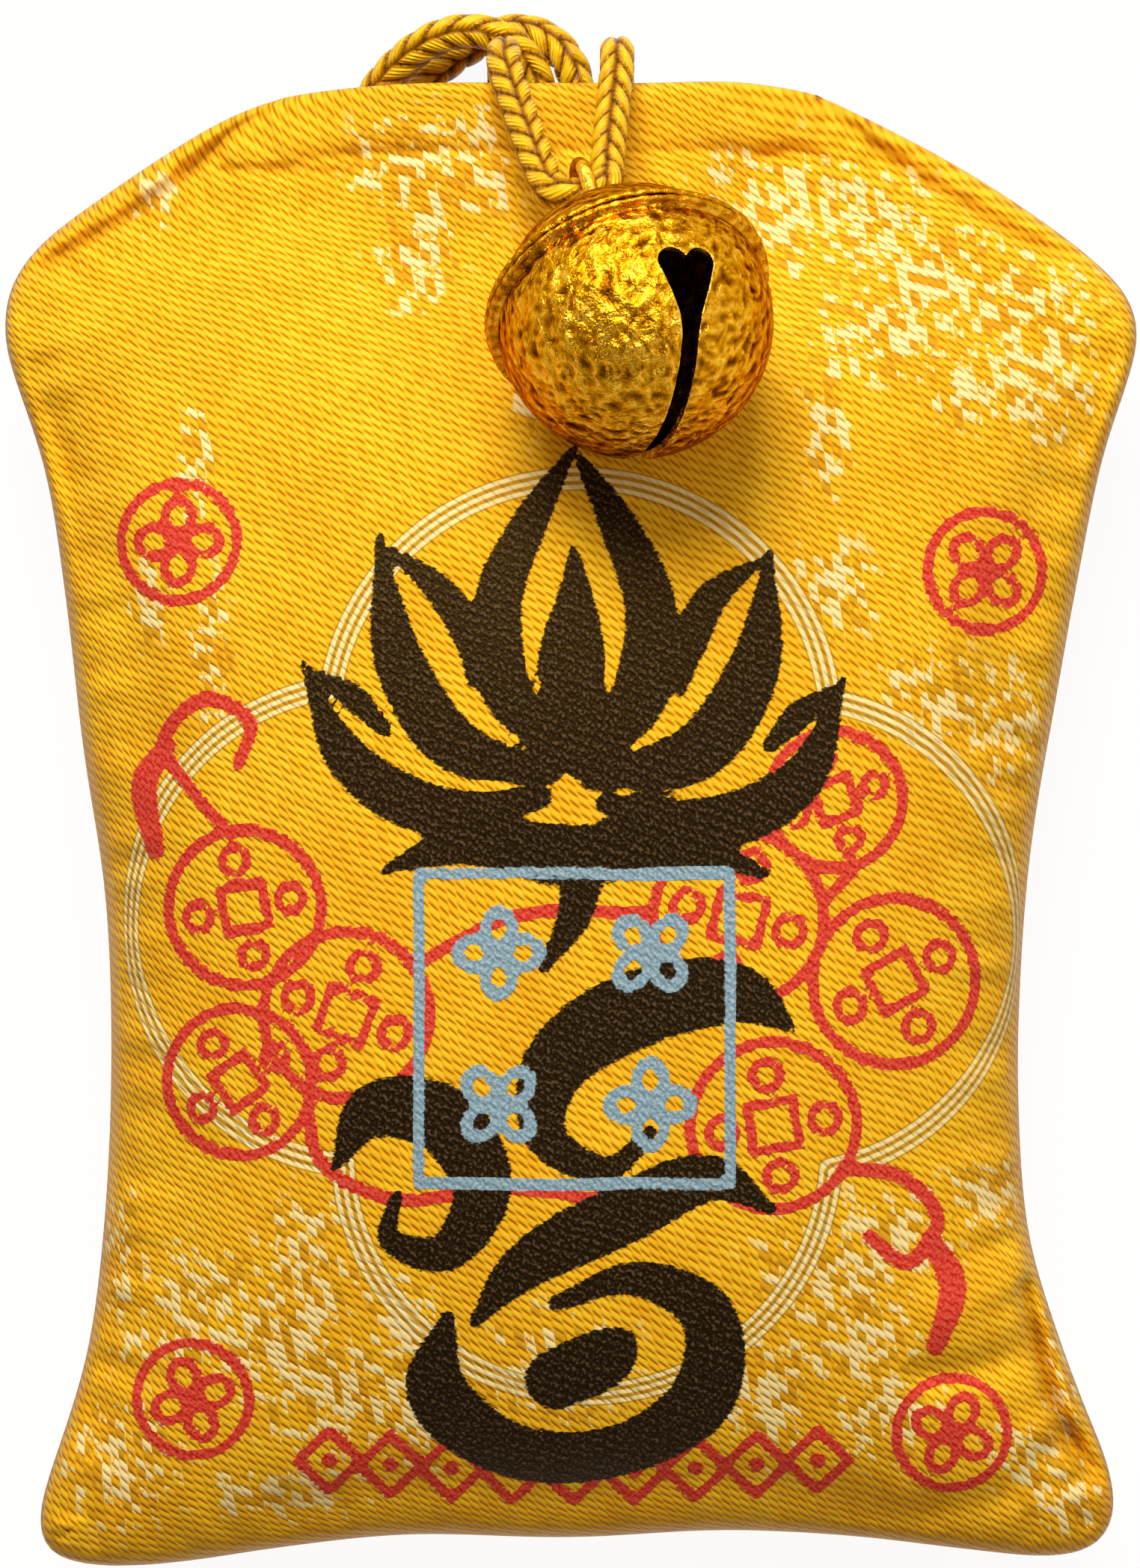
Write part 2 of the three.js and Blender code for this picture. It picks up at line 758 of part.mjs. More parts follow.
function bightPoint(angle) {
  const across = holeAxis.clone().multiplyScalar(bightRadius * Math.sin(angle));
  const along = towardsLip.clone().multiplyScalar(bightRadius * (1 - Math.cos(angle)));
  return eyeCentre.clone().add(across).add(along);
}

const leftEnd = bightPoint(-Math.PI / 2);
const rightEnd = bightPoint(Math.PI / 2);

function bendRoute(x, target) {
  const knotFace = knotY + knotWidth / 2 + cordGap;
  const atKnot = new THREE.Vector3((x + knotX) / 2, knotFace, strandKnotZ - cordRadius);
  const behindHem = new THREE.Vector3(x, mouthY - 1.5 * hemDepth, strandRowZ);
  const underHem = new THREE.Vector3(x, lipY - hemDepth / 2, lipZ - hemBendRadius);
  const points = [atKnot, behindHem, underHem];
  const last = bendAngle(target);
  for (let k = 0; k <= bendSteps; k += 1) {
    points.push(bendPoint(x, last * k / bendSteps));
  }
  return points;
}

const leftBend = bendRoute(bellCordLeftX, leftEnd);
const rightBend = bendRoute(bellCordRightX, rightEnd);
place('bell_cord_left_bend', cordGeometry(cordCurve(leftBend), bendSlices), cordFinish());
place('bell_cord_right_bend', cordGeometry(cordCurve(rightBend), bendSlices), cordFinish());

// The strands meet the bends face to face
function strandStart(bend, target) {
  const start = bend[bend.length - 1].clone();
  const direction = target.clone().sub(start).normalize();
  return start.addScaledVector(direction, cordGap + cordRadius / 2);
}

const leftStart = strandStart(leftBend, leftEnd);
const rightStart = strandStart(rightBend, rightEnd);
const loopPoints = [leftStart, leftStart.clone().lerp(leftEnd, middle)];
for (let k = 0; k <= bightSteps; k += 1) {
  loopPoints.push(bightPoint(Math.PI * (k / bightSteps - middle)));
}
loopPoints.push(rightStart.clone().lerp(rightEnd, middle));
loopPoints.push(rightStart);
place('bell_cord_loop', cordGeometry(cordCurve(loopPoints), loopSteps), cordFinish());

const show = (vector) => vector.toArray().map((value) => value.toFixed(3)).join(', ');
console.log(`hem hinge through 0, ${lipY.toFixed(3)}, ${lipZ.toFixed(3)} along X`);
console.log(`bell eye at ${show(eyeCentre)}, hole along ${show(holeAxis)}`);
console.log(`bell centre at ${show(bellCentre)}`);

export default talisman;
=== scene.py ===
import json
import math

import bmesh
import bpy
import numpy as np
from mathutils import Matrix, Vector, noise


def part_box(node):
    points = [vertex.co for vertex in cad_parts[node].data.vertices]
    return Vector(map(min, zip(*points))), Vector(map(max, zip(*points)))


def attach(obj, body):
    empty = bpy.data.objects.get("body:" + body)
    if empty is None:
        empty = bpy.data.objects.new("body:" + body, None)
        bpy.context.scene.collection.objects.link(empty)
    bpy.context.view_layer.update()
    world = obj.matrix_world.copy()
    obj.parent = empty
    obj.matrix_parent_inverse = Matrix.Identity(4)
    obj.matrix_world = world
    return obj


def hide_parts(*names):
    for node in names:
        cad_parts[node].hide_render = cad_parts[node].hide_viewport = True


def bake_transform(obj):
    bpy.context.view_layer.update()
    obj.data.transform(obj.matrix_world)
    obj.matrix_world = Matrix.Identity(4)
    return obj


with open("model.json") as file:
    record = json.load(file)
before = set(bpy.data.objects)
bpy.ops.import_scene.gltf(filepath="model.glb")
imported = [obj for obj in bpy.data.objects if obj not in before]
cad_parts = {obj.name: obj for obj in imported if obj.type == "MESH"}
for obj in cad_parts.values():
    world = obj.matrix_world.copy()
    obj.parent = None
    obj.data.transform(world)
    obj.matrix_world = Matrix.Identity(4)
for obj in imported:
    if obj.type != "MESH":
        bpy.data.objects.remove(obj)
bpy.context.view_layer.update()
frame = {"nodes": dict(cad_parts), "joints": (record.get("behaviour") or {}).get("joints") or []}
joints = {joint["name"]: joint for joint in frame["joints"]}
mm = 0.001  # sizes are in millimetres, unless a line says otherwise


def linear(code):
    channels = [int(code[i:i + 2], 16) / 255 for i in (1, 3, 5)]
    return tuple(c / 12.92 if c <= 0.04045 else ((c + 0.055) / 1.055) ** 2.4 for c in channels) + (1.0,)


# a node of a kind that is named without its "ShaderNode", with its settings, inputs and, on a ramp, stops as
# (position, sRGB hex); a node that is given as an input stands for the first output that it has in use
def addNode(tree, kind, inputs=None, stops=(), **settings):
    node = tree.nodes.new("ShaderNode" + kind)
    for name, value in settings.items():
        setattr(node, name, value)
    for socket, value in (inputs or {}).items():
        if isinstance(value, bpy.types.Node):
            value = next(output for output in value.outputs if output.enabled)
        if isinstance(value, bpy.types.NodeSocket):
            tree.links.new(value, node.inputs[socket])
        else:
            node.inputs[socket].default_value = value
    if stops:
        elements = node.color_ramp.elements
        while len(elements) < len(stops):
            elements.new(0.5)
        for element, (position, code) in zip(elements, stops):
            element.position = position
            element.color = linear(code)
    return node


def newMaterial(name):
    material = bpy.data.materials.new(name)
    material.use_nodes = True
    material.node_tree.nodes.clear()
    return material, material.node_tree


# object coordinates in millimetres
def millimetres(tree):
    place = addNode(tree, "TexCoord").outputs["Object"]
    return addNode(tree, "Mapping", {"Vector": place, "Scale": (1 / mm, 1 / mm, 1 / mm)})


def addPiece(name, mesh, material, slot, *replaced):
    piece = bpy.data.objects.new(name, mesh)
    bpy.context.scene.collection.objects.link(piece)
    mesh.materials.clear()
    mesh.materials.append(material)
    mesh.polygons.foreach_set("use_smooth", [True] * len(mesh.polygons))
    if replaced:
        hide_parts(*replaced)
    return piece


def finishMesh(bm, name):
    mesh = bpy.data.meshes.new(name)
    bm.to_mesh(mesh)
    bm.free()
    return mesh


def gridShares(bm):
    shares = np.array([vert.co[:2] for vert in bm.verts]) + 0.5
    return shares[:, 0], shares[:, 1]


def moveVerts(bm, points):
    for vert, point in zip(bm.verts, points * mm):
        vert.co = point


def writeAttribute(mesh, name, values):
    mesh.attributes.new(name, "FLOAT", "POINT").data.foreach_set("value", np.asarray(values, np.float32))


# Camera, straight above the pouch as in the photograph
view = {"x": -0.08, "y": 2.0, "height": 408, "lens": 174.4, "sensor": 36}
camera = bpy.data.cameras.new("camera")
camera.lens = view["lens"]
camera.sensor_width = view["sensor"]
camera.clip_start = 0.01
cameraObject = bpy.data.objects.new("camera", camera)
cameraObject.location = Vector((view["x"], view["y"], view["height"])) * mm
bpy.context.scene.collection.objects.link(cameraObject)
bpy.context.scene.camera = cameraObject
print("camera placed")


# Lines: given points joined by the same smooth curve as in the part's source
def smoothLine(points, steps=16):
    points = np.array(points, float)
    padded = np.vstack([2 * points[0] - points[1], points, 2 * points[-1] - points[-2]])
    gaps = np.sqrt(np.linalg.norm(np.diff(padded, axis=0), axis=1))
    share = np.arange(steps)[:, None] / steps
    pieces = []
    for i in range(len(points) - 1):
        before, start, end, after = padded[i:i + 4]
        d0, d1, d2 = gaps[i:i + 3]
        leave = d1 * ((start - before) / d0 - (end - before) / (d0 + d1) + (end - start) / d1)
        arrive = d1 * ((end - start) / d1 - (after - start) / (d1 + d2) + (after - end) / d2)
        pieces.append(start + leave * share + (3 * (end - start) - 2 * leave - arrive) * share ** 2
                      + (2 * (start - end) + leave + arrive) * share ** 3)
    return np.vstack(pieces + [points[-1:]])


def alongShares(line):
    lengths = np.linalg.norm(np.diff(line, axis=0), axis=1)
    return np.concatenate([[0], np.cumsum(lengths)]) / lengths.sum()


def pointAt(line, share):
    return np.stack([np.interp(share, alongShares(line), line[:, k]) for k in range(line.shape[1])], axis=-1)


def lineLength(line):
    return float(np.linalg.norm(np.diff(line, axis=0), axis=1).sum())


# how far each point lies from a line in plan, and how far along the line, in millimetres
def nearLine(x, y, line):
    best = np.full(len(x), np.inf)
    along = np.zeros(len(x))
    done = 0.0
    for start, end in zip(line[:-1, :2], line[1:, :2]):
        step = end - start
        length = max(float(np.hypot(*step)), 1e-9)
        share = np.clip(((x - start[0]) * step[0] + (y - start[1]) * step[1]) / length ** 2, 0, 1)
        away = np.hypot(x - start[0] - share * step[0], y - start[1] - share * step[1])
        nearer = away < best
        best[nearer] = away[nearer]
        along[nearer] = done + share[nearer] * length
        done += length
    return best, along


def smoothstep(value, low, high):
    share = np.clip((value - low) / (high - low), 0, 1)
    return share * share * (3 - 2 * share)


# Braided cord: a tube whose skin is pressed into four columns of slanting stitches, so that each
# pair of columns shows as a row of Vs
braid = {
    "diameter": 1.85,
    "stitch": 1.35,  # length of one V along the cord
    "slant": 1.0,  # how far a stitch leans over its column's width, in stitches
    "groove": 0.34,  # depth of the grooves, as a share of the radius
    "crest": 1.06,  # height of the stitches, in radii
    "sides": 0.85,  # how far a stitch sinks at its column's sides, as a share of the groove
    "threads": 2.5,  # threads that show in half a stitch
    "columns": 4,
    "around": 32,
    "ring": 0.12,  # length of cord from one ring of points to the next
}


# two directions square to the line at each of its points, carried along it without twist
def turningFrames(line):
    ahead = np.gradient(line, axis=0)
    ahead /= np.linalg.norm(ahead, axis=1)[:, None]
    side = np.cross(ahead[0], (0, 0, 1))
    sides = []
    for direction in ahead:
        side = side - direction * (side @ direction)
        side = side / np.linalg.norm(side)
        sides.append(side)
    sides = np.array(sides)
    return sides, np.cross(sides, ahead)


def braidedTube(name, line):
    rings = math.ceil(lineLength(line) / braid["ring"])
    line = pointAt(line, np.linspace(0, 1, rings + 1))
    sides, ups = turningFrames(line)
    bm = bmesh.new()
    bmesh.ops.create_grid(bm, x_segments=rings, y_segments=braid["around"], size=0.5)
    along, around = gridShares(bm)
    ring = np.rint(along * rings).astype(int)
    angle = 2 * math.pi * around
    column = np.floor(around * braid["columns"]) % braid["columns"]
    across = 2 * (around * braid["columns"] % 1) - 1
    lean = np.where(column % 2 == 0, 1, -1) * across * braid["slant"] / 2
    stitch = 2 * ((along * lineLength(line) / braid["stitch"] + lean + column / 2) % 1) - 1
    plump = ((1 - braid["sides"] * np.abs(across) ** 4) * (1 - np.abs(stitch) ** 3)) ** 0.6
    radius = braid["diameter"] / 2 * (braid["crest"] - braid["groove"] * (1 - plump))
    points = line[ring] + (np.cos(angle) * radius)[:, None] * ups[ring]
    points += (np.sin(angle) * radius)[:, None] * sides[ring]
    moveVerts(bm, points)
    for attribute, values in (("plump", plump), ("strand", stitch)):
        layer = bm.verts.layers.float.new(attribute)
        for vert, value in zip(bm.verts, values):
            vert[layer] = value
    bmesh.ops.remove_doubles(bm, verts=bm.verts, dist=0.001 * mm)
    bmesh.ops.holes_fill(bm, edges=[edge for edge in bm.edges if edge.is_boundary])
    bmesh.ops.recalc_face_normals(bm, faces=bm.faces)
    return finishMesh(bm, name), line * mm


# Satin braid of bright yellow rayon: plump glossy stitches, the colour darkening to painted deep brown shade between
# them
def makeCordMaterial():
    material, tree = newMaterial("rayonBraid")
    plump = addNode(tree, "Attribute", attribute_name="plump").outputs["Fac"]
    strand = addNode(tree, "Attribute", attribute_name="strand").outputs["Fac"]
    turns = addNode(tree, "Math", {0: strand, 1: braid["threads"] * 2 * math.pi}, operation="MULTIPLY")
    threads = addNode(tree, "Math", {0: turns}, operation="COSINE")
    speck = addNode(tree, "TexNoise", {"Vector": millimetres(tree), "Scale": 1.8, "Detail": 3.0})
    amount = addNode(tree, "Math", {0: threads, 1: 0.07, 2: plump}, operation="MULTIPLY_ADD")
    uneven = addNode(tree, "Math", {0: speck, 1: 0.5, 2: -0.25}, operation="MULTIPLY_ADD")
    amount = addNode(tree, "Math", {0: amount, 1: uneven}, operation="ADD")
    # painted shade: the colour turns deep brown where the stitches and threads sink
    shade = addNode(tree, "ValToRGB", {0: amount},
                    [(0.05, "#341800"), (0.42, "#965A00"), (0.74, "#DA9804"), (1.0, "#FFD01C")])
    height = addNode(tree, "Math", {0: speck, 1: 1.5, 2: threads}, operation="MULTIPLY_ADD")
    bump = addNode(tree, "Bump", {"Height": height, "Strength": 0.8, "Distance": 0.03 * mm})
    surface = addNode(tree, "BsdfPrincipled", {
        "Base Color": shade, "Roughness": 0.3, "Specular IOR Level": 0.9, "Specular Tint": linear("#FFC23C"),
        "Coat Weight": 0.08, "Coat Roughness": 0.2, "Normal": bump})
    addNode(tree, "OutputMaterial", {"Surface": surface})
    return material


cordMaterial = makeCordMaterial()

# The hanging cord: out of the mouth, over to the left, round its coil on the table and back again
hangingCord = {
    "leftLeg": [
        (-1.65, 28.3, 5.0), (-1.65, 32.0, 4.9), (-1.65, 35.8, 4.9), (-1.65, 38.3, 4.95),
        (-2.05, 39.9, 5.1), (-3.15, 41.2, 5.2), (-4.8, 41.9, 5.1), (-6.6, 41.8, 4.65),
        (-8.3, 41.0, 3.9), (-9.9, 39.6, 2.85), (-11.1, 37.9, 1.7), (-11.7, 36.5, 1.15),
    ],
    "rightLeg": [
        (0.5, 28.3, 5.0), (0.5, 32.0, 4.9), (0.5, 35.6, 4.9), (0.45, 38.0, 4.85), (0.1, 39.8, 4.6),
        (-0.8, 41.2, 4.1), (-2.2, 42.0, 3.35), (-3.9, 42.0, 2.5), (-5.7, 41.3, 1.75),
        (-7.3, 40.15, 1.25), (-8.6, 38.7, 1.0), (-9.3, 37.0, 0.985), (-9.5, 35.9, 0.985),
    ],
    "coilX": -5, "coilY": 33, "coilTop": 34.85, "coilZ": 0.985,
    "coilRadius": 6.8, "coilInnerRadius": 4.5, "coilRun": 8, "coilRise": 1, "coilBend": 3.7, "arcPoints": 12,
}


def arcPoints(x, y, radius, start, end):
    angles = np.radians(np.linspace(start, end, hangingCord["arcPoints"]))
    return [(x + radius * math.cos(a), y + radius * math.sin(a), hangingCord["coilZ"]) for a in angles]


def coilPoints():
    c = hangingCord
    farX = c["coilX"] + c["coilRun"]
    bendX = farX + c["coilRadius"] - c["coilBend"]
    innerFarX = bendX - c["coilBend"] - c["coilInnerRadius"]
    points = [(c["coilX"] - c["coilRadius"], c["coilTop"], c["coilZ"])]
    points += arcPoints(c["coilX"], c["coilY"], c["coilRadius"], 180, 270)
    points += arcPoints(farX, c["coilY"], c["coilRadius"], 270, 360)
    points += arcPoints(bendX, c["coilY"] + c["coilRise"], c["coilBend"], 0, 180)
    points += arcPoints(innerFarX, c["coilY"], c["coilInnerRadius"], 360, 270)
    points += arcPoints(c["coilX"], c["coilY"], c["coilInnerRadius"], 270, 180)
    points.append((c["coilX"] - c["coilInnerRadius"], c["coilTop"], c["coilZ"]))
    return points


hangingLine = smoothLine(hangingCord["leftLeg"] + coilPoints() + hangingCord["rightLeg"][::-1], 24)
hangingMesh, hangingPath = braidedTube("hangingCord", hangingLine)
hangingPiece = addPiece("hangingCord", hangingMesh, cordMaterial, "gold_cord",
                        "hanging_cord_left_leg", "hanging_cord_coil", "hanging_cord_right_leg")
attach(hangingPiece, "pouch")
print("hanging cord made, length in mm:", round(lineLength(hangingLine), 1))

# The bell cord: from its knot over the hem, through the bell's eye and back over the hem
bellCord = {
    "leftX": -3.55, "rightX": 2.4, "knotX": -0.575, "knotFace": 28.35, "knotZ": 6.45,
    "mouthY": 39.15, "hemDepth": 3.7, "row": 5.9, "bend": 1.8, "bight": 1.625,
}
hemAxis = Vector(joints["bell_lift"]["pos_m"]) / mm
eyeCentre = Vector(joints["bell_nod"]["pos_m"]) / mm
eyeAxis = -Vector(joints["bell_nod"]["axis"]).normalized()


def bightPoint(angle):
    lip = Vector(((bellCord["leftX"] + bellCord["rightX"]) / 2, hemAxis.y, hemAxis.z)) - eyeCentre
    towardsLip = (lip - eyeAxis * lip.dot(eyeAxis)).normalized()
    away = eyeAxis * math.sin(angle) + towardsLip * (1 - math.cos(angle))
    return eyeCentre + away * bellCord["bight"]


def bendPoints(x, target):
    c = bellCord
    away = math.hypot(target.y - hemAxis.y, target.z - hemAxis.z)
    last = math.atan2(target.z - hemAxis.z, target.y - hemAxis.y) + math.asin(c["bend"] / away)
    points = [((x + c["knotX"]) / 2, c["knotFace"], c["knotZ"]), (x, c["mouthY"] - 1.5 * c["hemDepth"], c["row"])]
    points.append((x, hemAxis.y - c["hemDepth"] / 2, hemAxis.z - c["bend"]))
    for k in range(7):
        angle = last * k / 6
        points.append((x, hemAxis.y + c["bend"] * math.sin(angle), hemAxis.z - c["bend"] * math.cos(angle)))
    return points


def bellCordPoints():
    left = bendPoints(bellCord["leftX"], bightPoint(-math.pi / 2))
    right = bendPoints(bellCord["rightX"], bightPoint(math.pi / 2))
    bight = [tuple(bightPoint(math.pi * (k / 8 - 0.5))) for k in range(9)]
    return left + bight + right[::-1]


bellCordLine = smoothLine(bellCordPoints(), 30)
bellCordMesh, bellCordPath = braidedTube("bellCord", bellCordLine)
bellCordPiece = addPiece("bellCord", bellCordMesh, cordMaterial, "gold_cord",
                         "bell_cord_left_bend", "bell_cord_right_bend", "bell_cord_loop")
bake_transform(bellCordPiece)
print("bell cord made, length in mm:", round(lineLength(bellCordLine), 1))


# Knots of the same braid behind the stitched hem
def makeKnot(name, node):
    low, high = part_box(node)
    centre = (low + high) / 2 / mm
    half = (high - low) / 2 / mm - Vector((1, 1, 1)) * braid["diameter"] / 2
    turns = np.linspace(0, 2 * math.pi, 90)
    reach = (2 + np.cos(3 * turns)) / 3
    line = np.stack([centre.x + half.x * reach * np.cos(2 * turns), centre.y + half.y * reach * np.sin(2 * turns),
                     centre.z + half.z * np.sin(3 * turns)], axis=-1)
    mesh, _ = braidedTube(name, line)
    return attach(addPiece(name, mesh, cordMaterial, "gold_cord", node), "pouch")


hangingKnot = makeKnot("hangingCordKnot", "hanging_cord_knot")
bellKnot = makeKnot("bellCordKnot", "bell_cord_knot")
print("knots made")

# Pouch: its outline and heights follow the part's source, as shares of its width and length
pouch = {
    "width": 59.8, "length": 78.3, "frontCrown": 9.3, "backCrown": 8.5, "restCut": 0.5, "clothWall": 0.6,
    "hemWall": 0.9, "hemDepth": 3.7, "mouthDrop": 2.6, "mouthDropStart": 22, "halfGap": 0.15,
    "slotX": -0.575, "slotFlat": 5.75, "mouthFade": 6, "slotHalf": 1.875, "cornerRound": 1.5,
    "outlineSteps": 2400, "sidePoints": 300,
    "left": [
        (-0.463, -0.493), (-0.470, -0.472), (-0.462, -0.445), (-0.443, -0.402), (-0.425, -0.353),
        (-0.411, -0.268), (-0.405, -0.160), (-0.410, -0.051), (-0.430, 0.051), (-0.445, 0.150),
        (-0.463, 0.236), (-0.486, 0.290), (-0.499, 0.320), (-0.5, 0.340), (-0.497, 0.358), (-0.476, 0.385),
        (-0.405, 0.428), (-0.308, 0.475), (-0.259, 0.490),
    ],
    "right": [
        (0.462, -0.489), (0.478, -0.470), (0.474, -0.437), (0.450, -0.390), (0.423, -0.333),
        (0.402, -0.276), (0.393, -0.180), (0.396, -0.090), (0.405, -0.013), (0.428, 0.090),
        (0.446, 0.166), (0.468, 0.247), (0.490, 0.298), (0.5, 0.326), (0.494, 0.351),
        (0.460, 0.380), (0.350, 0.440), (0.217, 0.493),
    ],
    "bottom": [
        (-0.463, -0.493), (-0.421, -0.5), (-0.350, -0.498), (-0.260, -0.488), (-0.147, -0.479),
        (0, -0.481), (0.134, -0.476), (0.247, -0.480), (0.350, -0.489), (0.425, -0.494), (0.462, -0.489),
    ],
    "top": [(-0.259, 0.490), (-0.187, 0.497), (-0.067, 0.498), (0.089, 0.498), (0.150, 0.5), (0.217, 0.493)],
}
# how full a panel is across its width and towards its foot and its head, as a power and a softness
fullest = {"across": (3, 0.6), "foot": (3, 0.6), "front": (2, 0.95), "back": (3, 1)}
seamHeight = pouch["backCrown"] - pouch["restCut"]
mouthY = pouch["length"] / 2


# the four sides as one closed line whose corners are rounded, as sewn cloth rounds them
def roundedEdges():
    size = (pouch["width"], pouch["length"])
    left, right, bottom, top = [smoothLine(np.array(pouch[side]) * size) for side in
                                ("left", "right", "bottom", "top")]
    sides = [left, top, right[::-1], bottom[::-1]]
    loop = np.vstack([side[:-1] for side in sides] + [left[:1]])
    corners = np.cumsum([0] + [lineLength(side) for side in sides]) / lineLength(loop)
    count = pouch["outlineSteps"]
    even = pointAt(loop, np.arange(count) / count)
    reach = np.arange(count) / count * lineLength(loop)
    reach = np.minimum(reach, lineLength(loop) - reach)
    weight = np.exp(-(reach / pouch["cornerRound"]) ** 2)
    spread = np.fft.fft(weight / weight.sum())
    even = np.stack([np.fft.ifft(np.fft.fft(even[:, k]) * spread).real for k in (0, 1)], axis=-1)
    even = np.vstack([even, even[:1]])
    shares = np.arange(count + 1) / count
    parts = []
    for start, end in zip(corners[:-1], corners[1:]):
        wanted = np.linspace(start, end, pouch["sidePoints"])
        parts.append(np.stack([np.interp(wanted, shares, even[:, k]) for k in (0, 1)], axis=-1))
    return {"left": parts[0], "top": parts[1], "right": parts[2][::-1], "bottom": parts[3][::-1]}


edges = roundedEdges()
seamLine = np.vstack([edges["left"][::-1], edges["bottom"][1:], edges["right"][1:]])
hemLine = edges["top"]


def planPoints(across, along):
    sides = pointAt(edges["left"], along) * (1 - across[:, None]) + pointAt(edges["right"], along) * across[:, None]
    ends = pointAt(edges["bottom"], across) * (1 - along[:, None]) + pointAt(edges["top"], across) * along[:, None]
    low = edges["left"][0] * (1 - across[:, None]) + edges["right"][0] * across[:, None]
    high = edges["left"][-1] * (1 - across[:, None]) + edges["right"][-1] * across[:, None]
    plan = sides + ends - low * (1 - along[:, None]) - high * along[:, None]
    return plan[:, 0], plan[:, 1]


def fullness(share, power, softness):
    return (1 - np.minimum(1, np.abs(2 * share - 1)) ** power) ** softness


def lengthShares(across, y):
    low = pointAt(edges["bottom"], across)[:, 1]
    high = pointAt(edges["top"], across)[:, 1] - pouch["hemDepth"]
    return np.clip((y - low) / (high - low), 0, 1)


def seamZ(y):
    return seamHeight - pouch["mouthDrop"] * smoothstep(y, pouch["mouthDropStart"], mouthY - pouch["hemDepth"])


def slotZ(x, y):
    away = np.abs(x - pouch["slotX"])
    beside = smoothstep(away, pouch["slotFlat"], pouch["slotFlat"] + pouch["mouthFade"])
    behind = smoothstep(y, mouthY - 3 * pouch["hemDepth"], mouthY - pouch["hemDepth"])
    return pouch["halfGap"] + (pouch["slotHalf"] - pouch["halfGap"]) * (1 - beside) * behind


def wallAt(y):
    turnedIn = smoothstep(y, mouthY - 2 * pouch["hemDepth"], mouthY - pouch["hemDepth"])
    return pouch["clothWall"] + (pouch["hemWall"] - pouch["clothWall"]) * turnedIn


# height of a panel's inside over the seam
def insideSwell(side, across, y):
    length = lengthShares(across, y)
    lengthwise = np.where(2 * length > 1, fullness(length, *fullest[side]), fullness(length, *fullest["foot"]))
    crown = pouch[side + "Crown"] - pouch["clothWall"] - pouch["halfGap"]
    return crown * fullness(across, *fullest["across"]) * lengthwise


def frontHeight(across, x, y):
    return seamZ(y) + slotZ(x, y) + insideSwell("front", across, y) + wallAt(y)


def backHeight(across, x, y):
    inside = seamZ(y) - slotZ(x, y) - insideSwell("back", across, y)
    return np.maximum(0, np.maximum(pouch["clothWall"], inside) - wallAt(y))


# Folds of the stuffed cloth, each a line in plan with its width and its height, minus where it sinks
folds = {
    "front": [
        ([(-28.8, 28.9), (-26.1, 30.5), (-23.5, 32.0), (-20.2, 34.5), (-17.6, 36.9), (-16.2, 37.7)], 0.4, -0.8),
        ([(13.8, 38.0), (16.7, 35.3), (19.0, 33.7), (21.8, 32.1), (23.8, 30.9), (26.8, 29.6)], 0.42, -0.65),
        ([(23.9, -24.3), (24.3, -26.3), (24.7, -28.1), (25.1, -29.8), (25.8, -31.5), (27.0, -33.2), (28.0, -34.4)],
         0.45, -1.5),
        ([(24.3, -27.4), (21.3, -28.5), (18.4, -28.8)], 0.9, -0.6),
        ([(24.6, -22.5), (22.4, -24.6), (19.4, -25.6)], 1.5, 0.35),
        ([(26.4, -32.6), (22.0, -35.4), (17.0, -36.2)], 1.0, -0.35),
        ([(-28.5, 19.5), (-22.0, 22.3), (-15.5, 25.2), (-9.0, 28.2)], 4.2, -1.15),
        ([(-25.5, 28.4), (-20.0, 30.6), (-14.0, 32.0)], 1.5, -0.45),
        ([(-18.4, 34.3), (-15.6, 34.4), (-12.4, 34.3)], 0.32, -0.4),
        ([(27.4, 23.2), (21.8, 27.2), (15.0, 31.2), (10.0, 33.4)], 2.3, -1.0),
        ([(10.2, 35.3), (11.6, 35.6), (13.0, 35.2)], 0.4, -0.35),
        ([(-27.0, 19.0), (-23.8, 12.0), (-22.0, 4.0)], 1.8, -0.5),
        ([(26.4, 20.0), (23.4, 14.0), (21.9, 5.0)], 1.8, -0.5),
        ([(-25.2, -30.0), (-21.6, -24.6), (-20.0, -17.0)], 2.0, -0.5),
        ([(-15.0, -36.0), (-8.0, -34.6), (0.0, -35.2), (8.0, -34.4), (15.0, -35.6)], 1.4, -0.3),
        ([(-22.0, 33.0), (-15.0, 35.6), (-9.0, 36.4)], 1.2, 0.3),
        ([(8.0, 36.4), (13.0, 35.4), (17.5, 32.6)], 1.2, 0.3),
    ],
    "back": [
        ([(-26.0, 22.0), (-22.5, 14.0), (-21.0, 5.0)], 2.0, 0.35),
        ([(26.0, 22.0), (22.5, 14.0), (21.0, 5.0)], 2.0, 0.35),
        ([(24.5, -31.0), (21.0, -24.0), (20.0, -15.0)], 2.0, 0.35),
        ([(-25.0, -31.0), (-21.5, -24.0), (-20.0, -15.0)], 2.0, 0.35),
    ],
}
bellPlan = (3.25, 25.6, 8.5)  # the cloth doesn't rise under the bell
seamPuckers = {
    "pitch": 3.3, "height": 0.13, "place": 1.6, "reach": 2.0,  # waves that the stitches draw beside the seam
    "roll": 0.8, "gap": 0.04, "plain": 1.2,  # how the cloth turns in at the seam
}
shallowWaves = {"height": 0.16, "across": 4.1, "along": 5.3}
sharpFolds = {"under": 0.5, "shade": 0.8, "width": 0.22}  # folds narrower than "under" also hold a line of painted shade
hemStitches = {"depth": 0.22, "width": 0.35}
panel = {
    "frontGrid": (194, 254), "backGrid": (150, 196), "easing": 0.3, "cornerReach": 5, "cornerPasses": 30,
    "wall": 0.5, "thinReach": 1.5, "thinnest": 0.02,
}


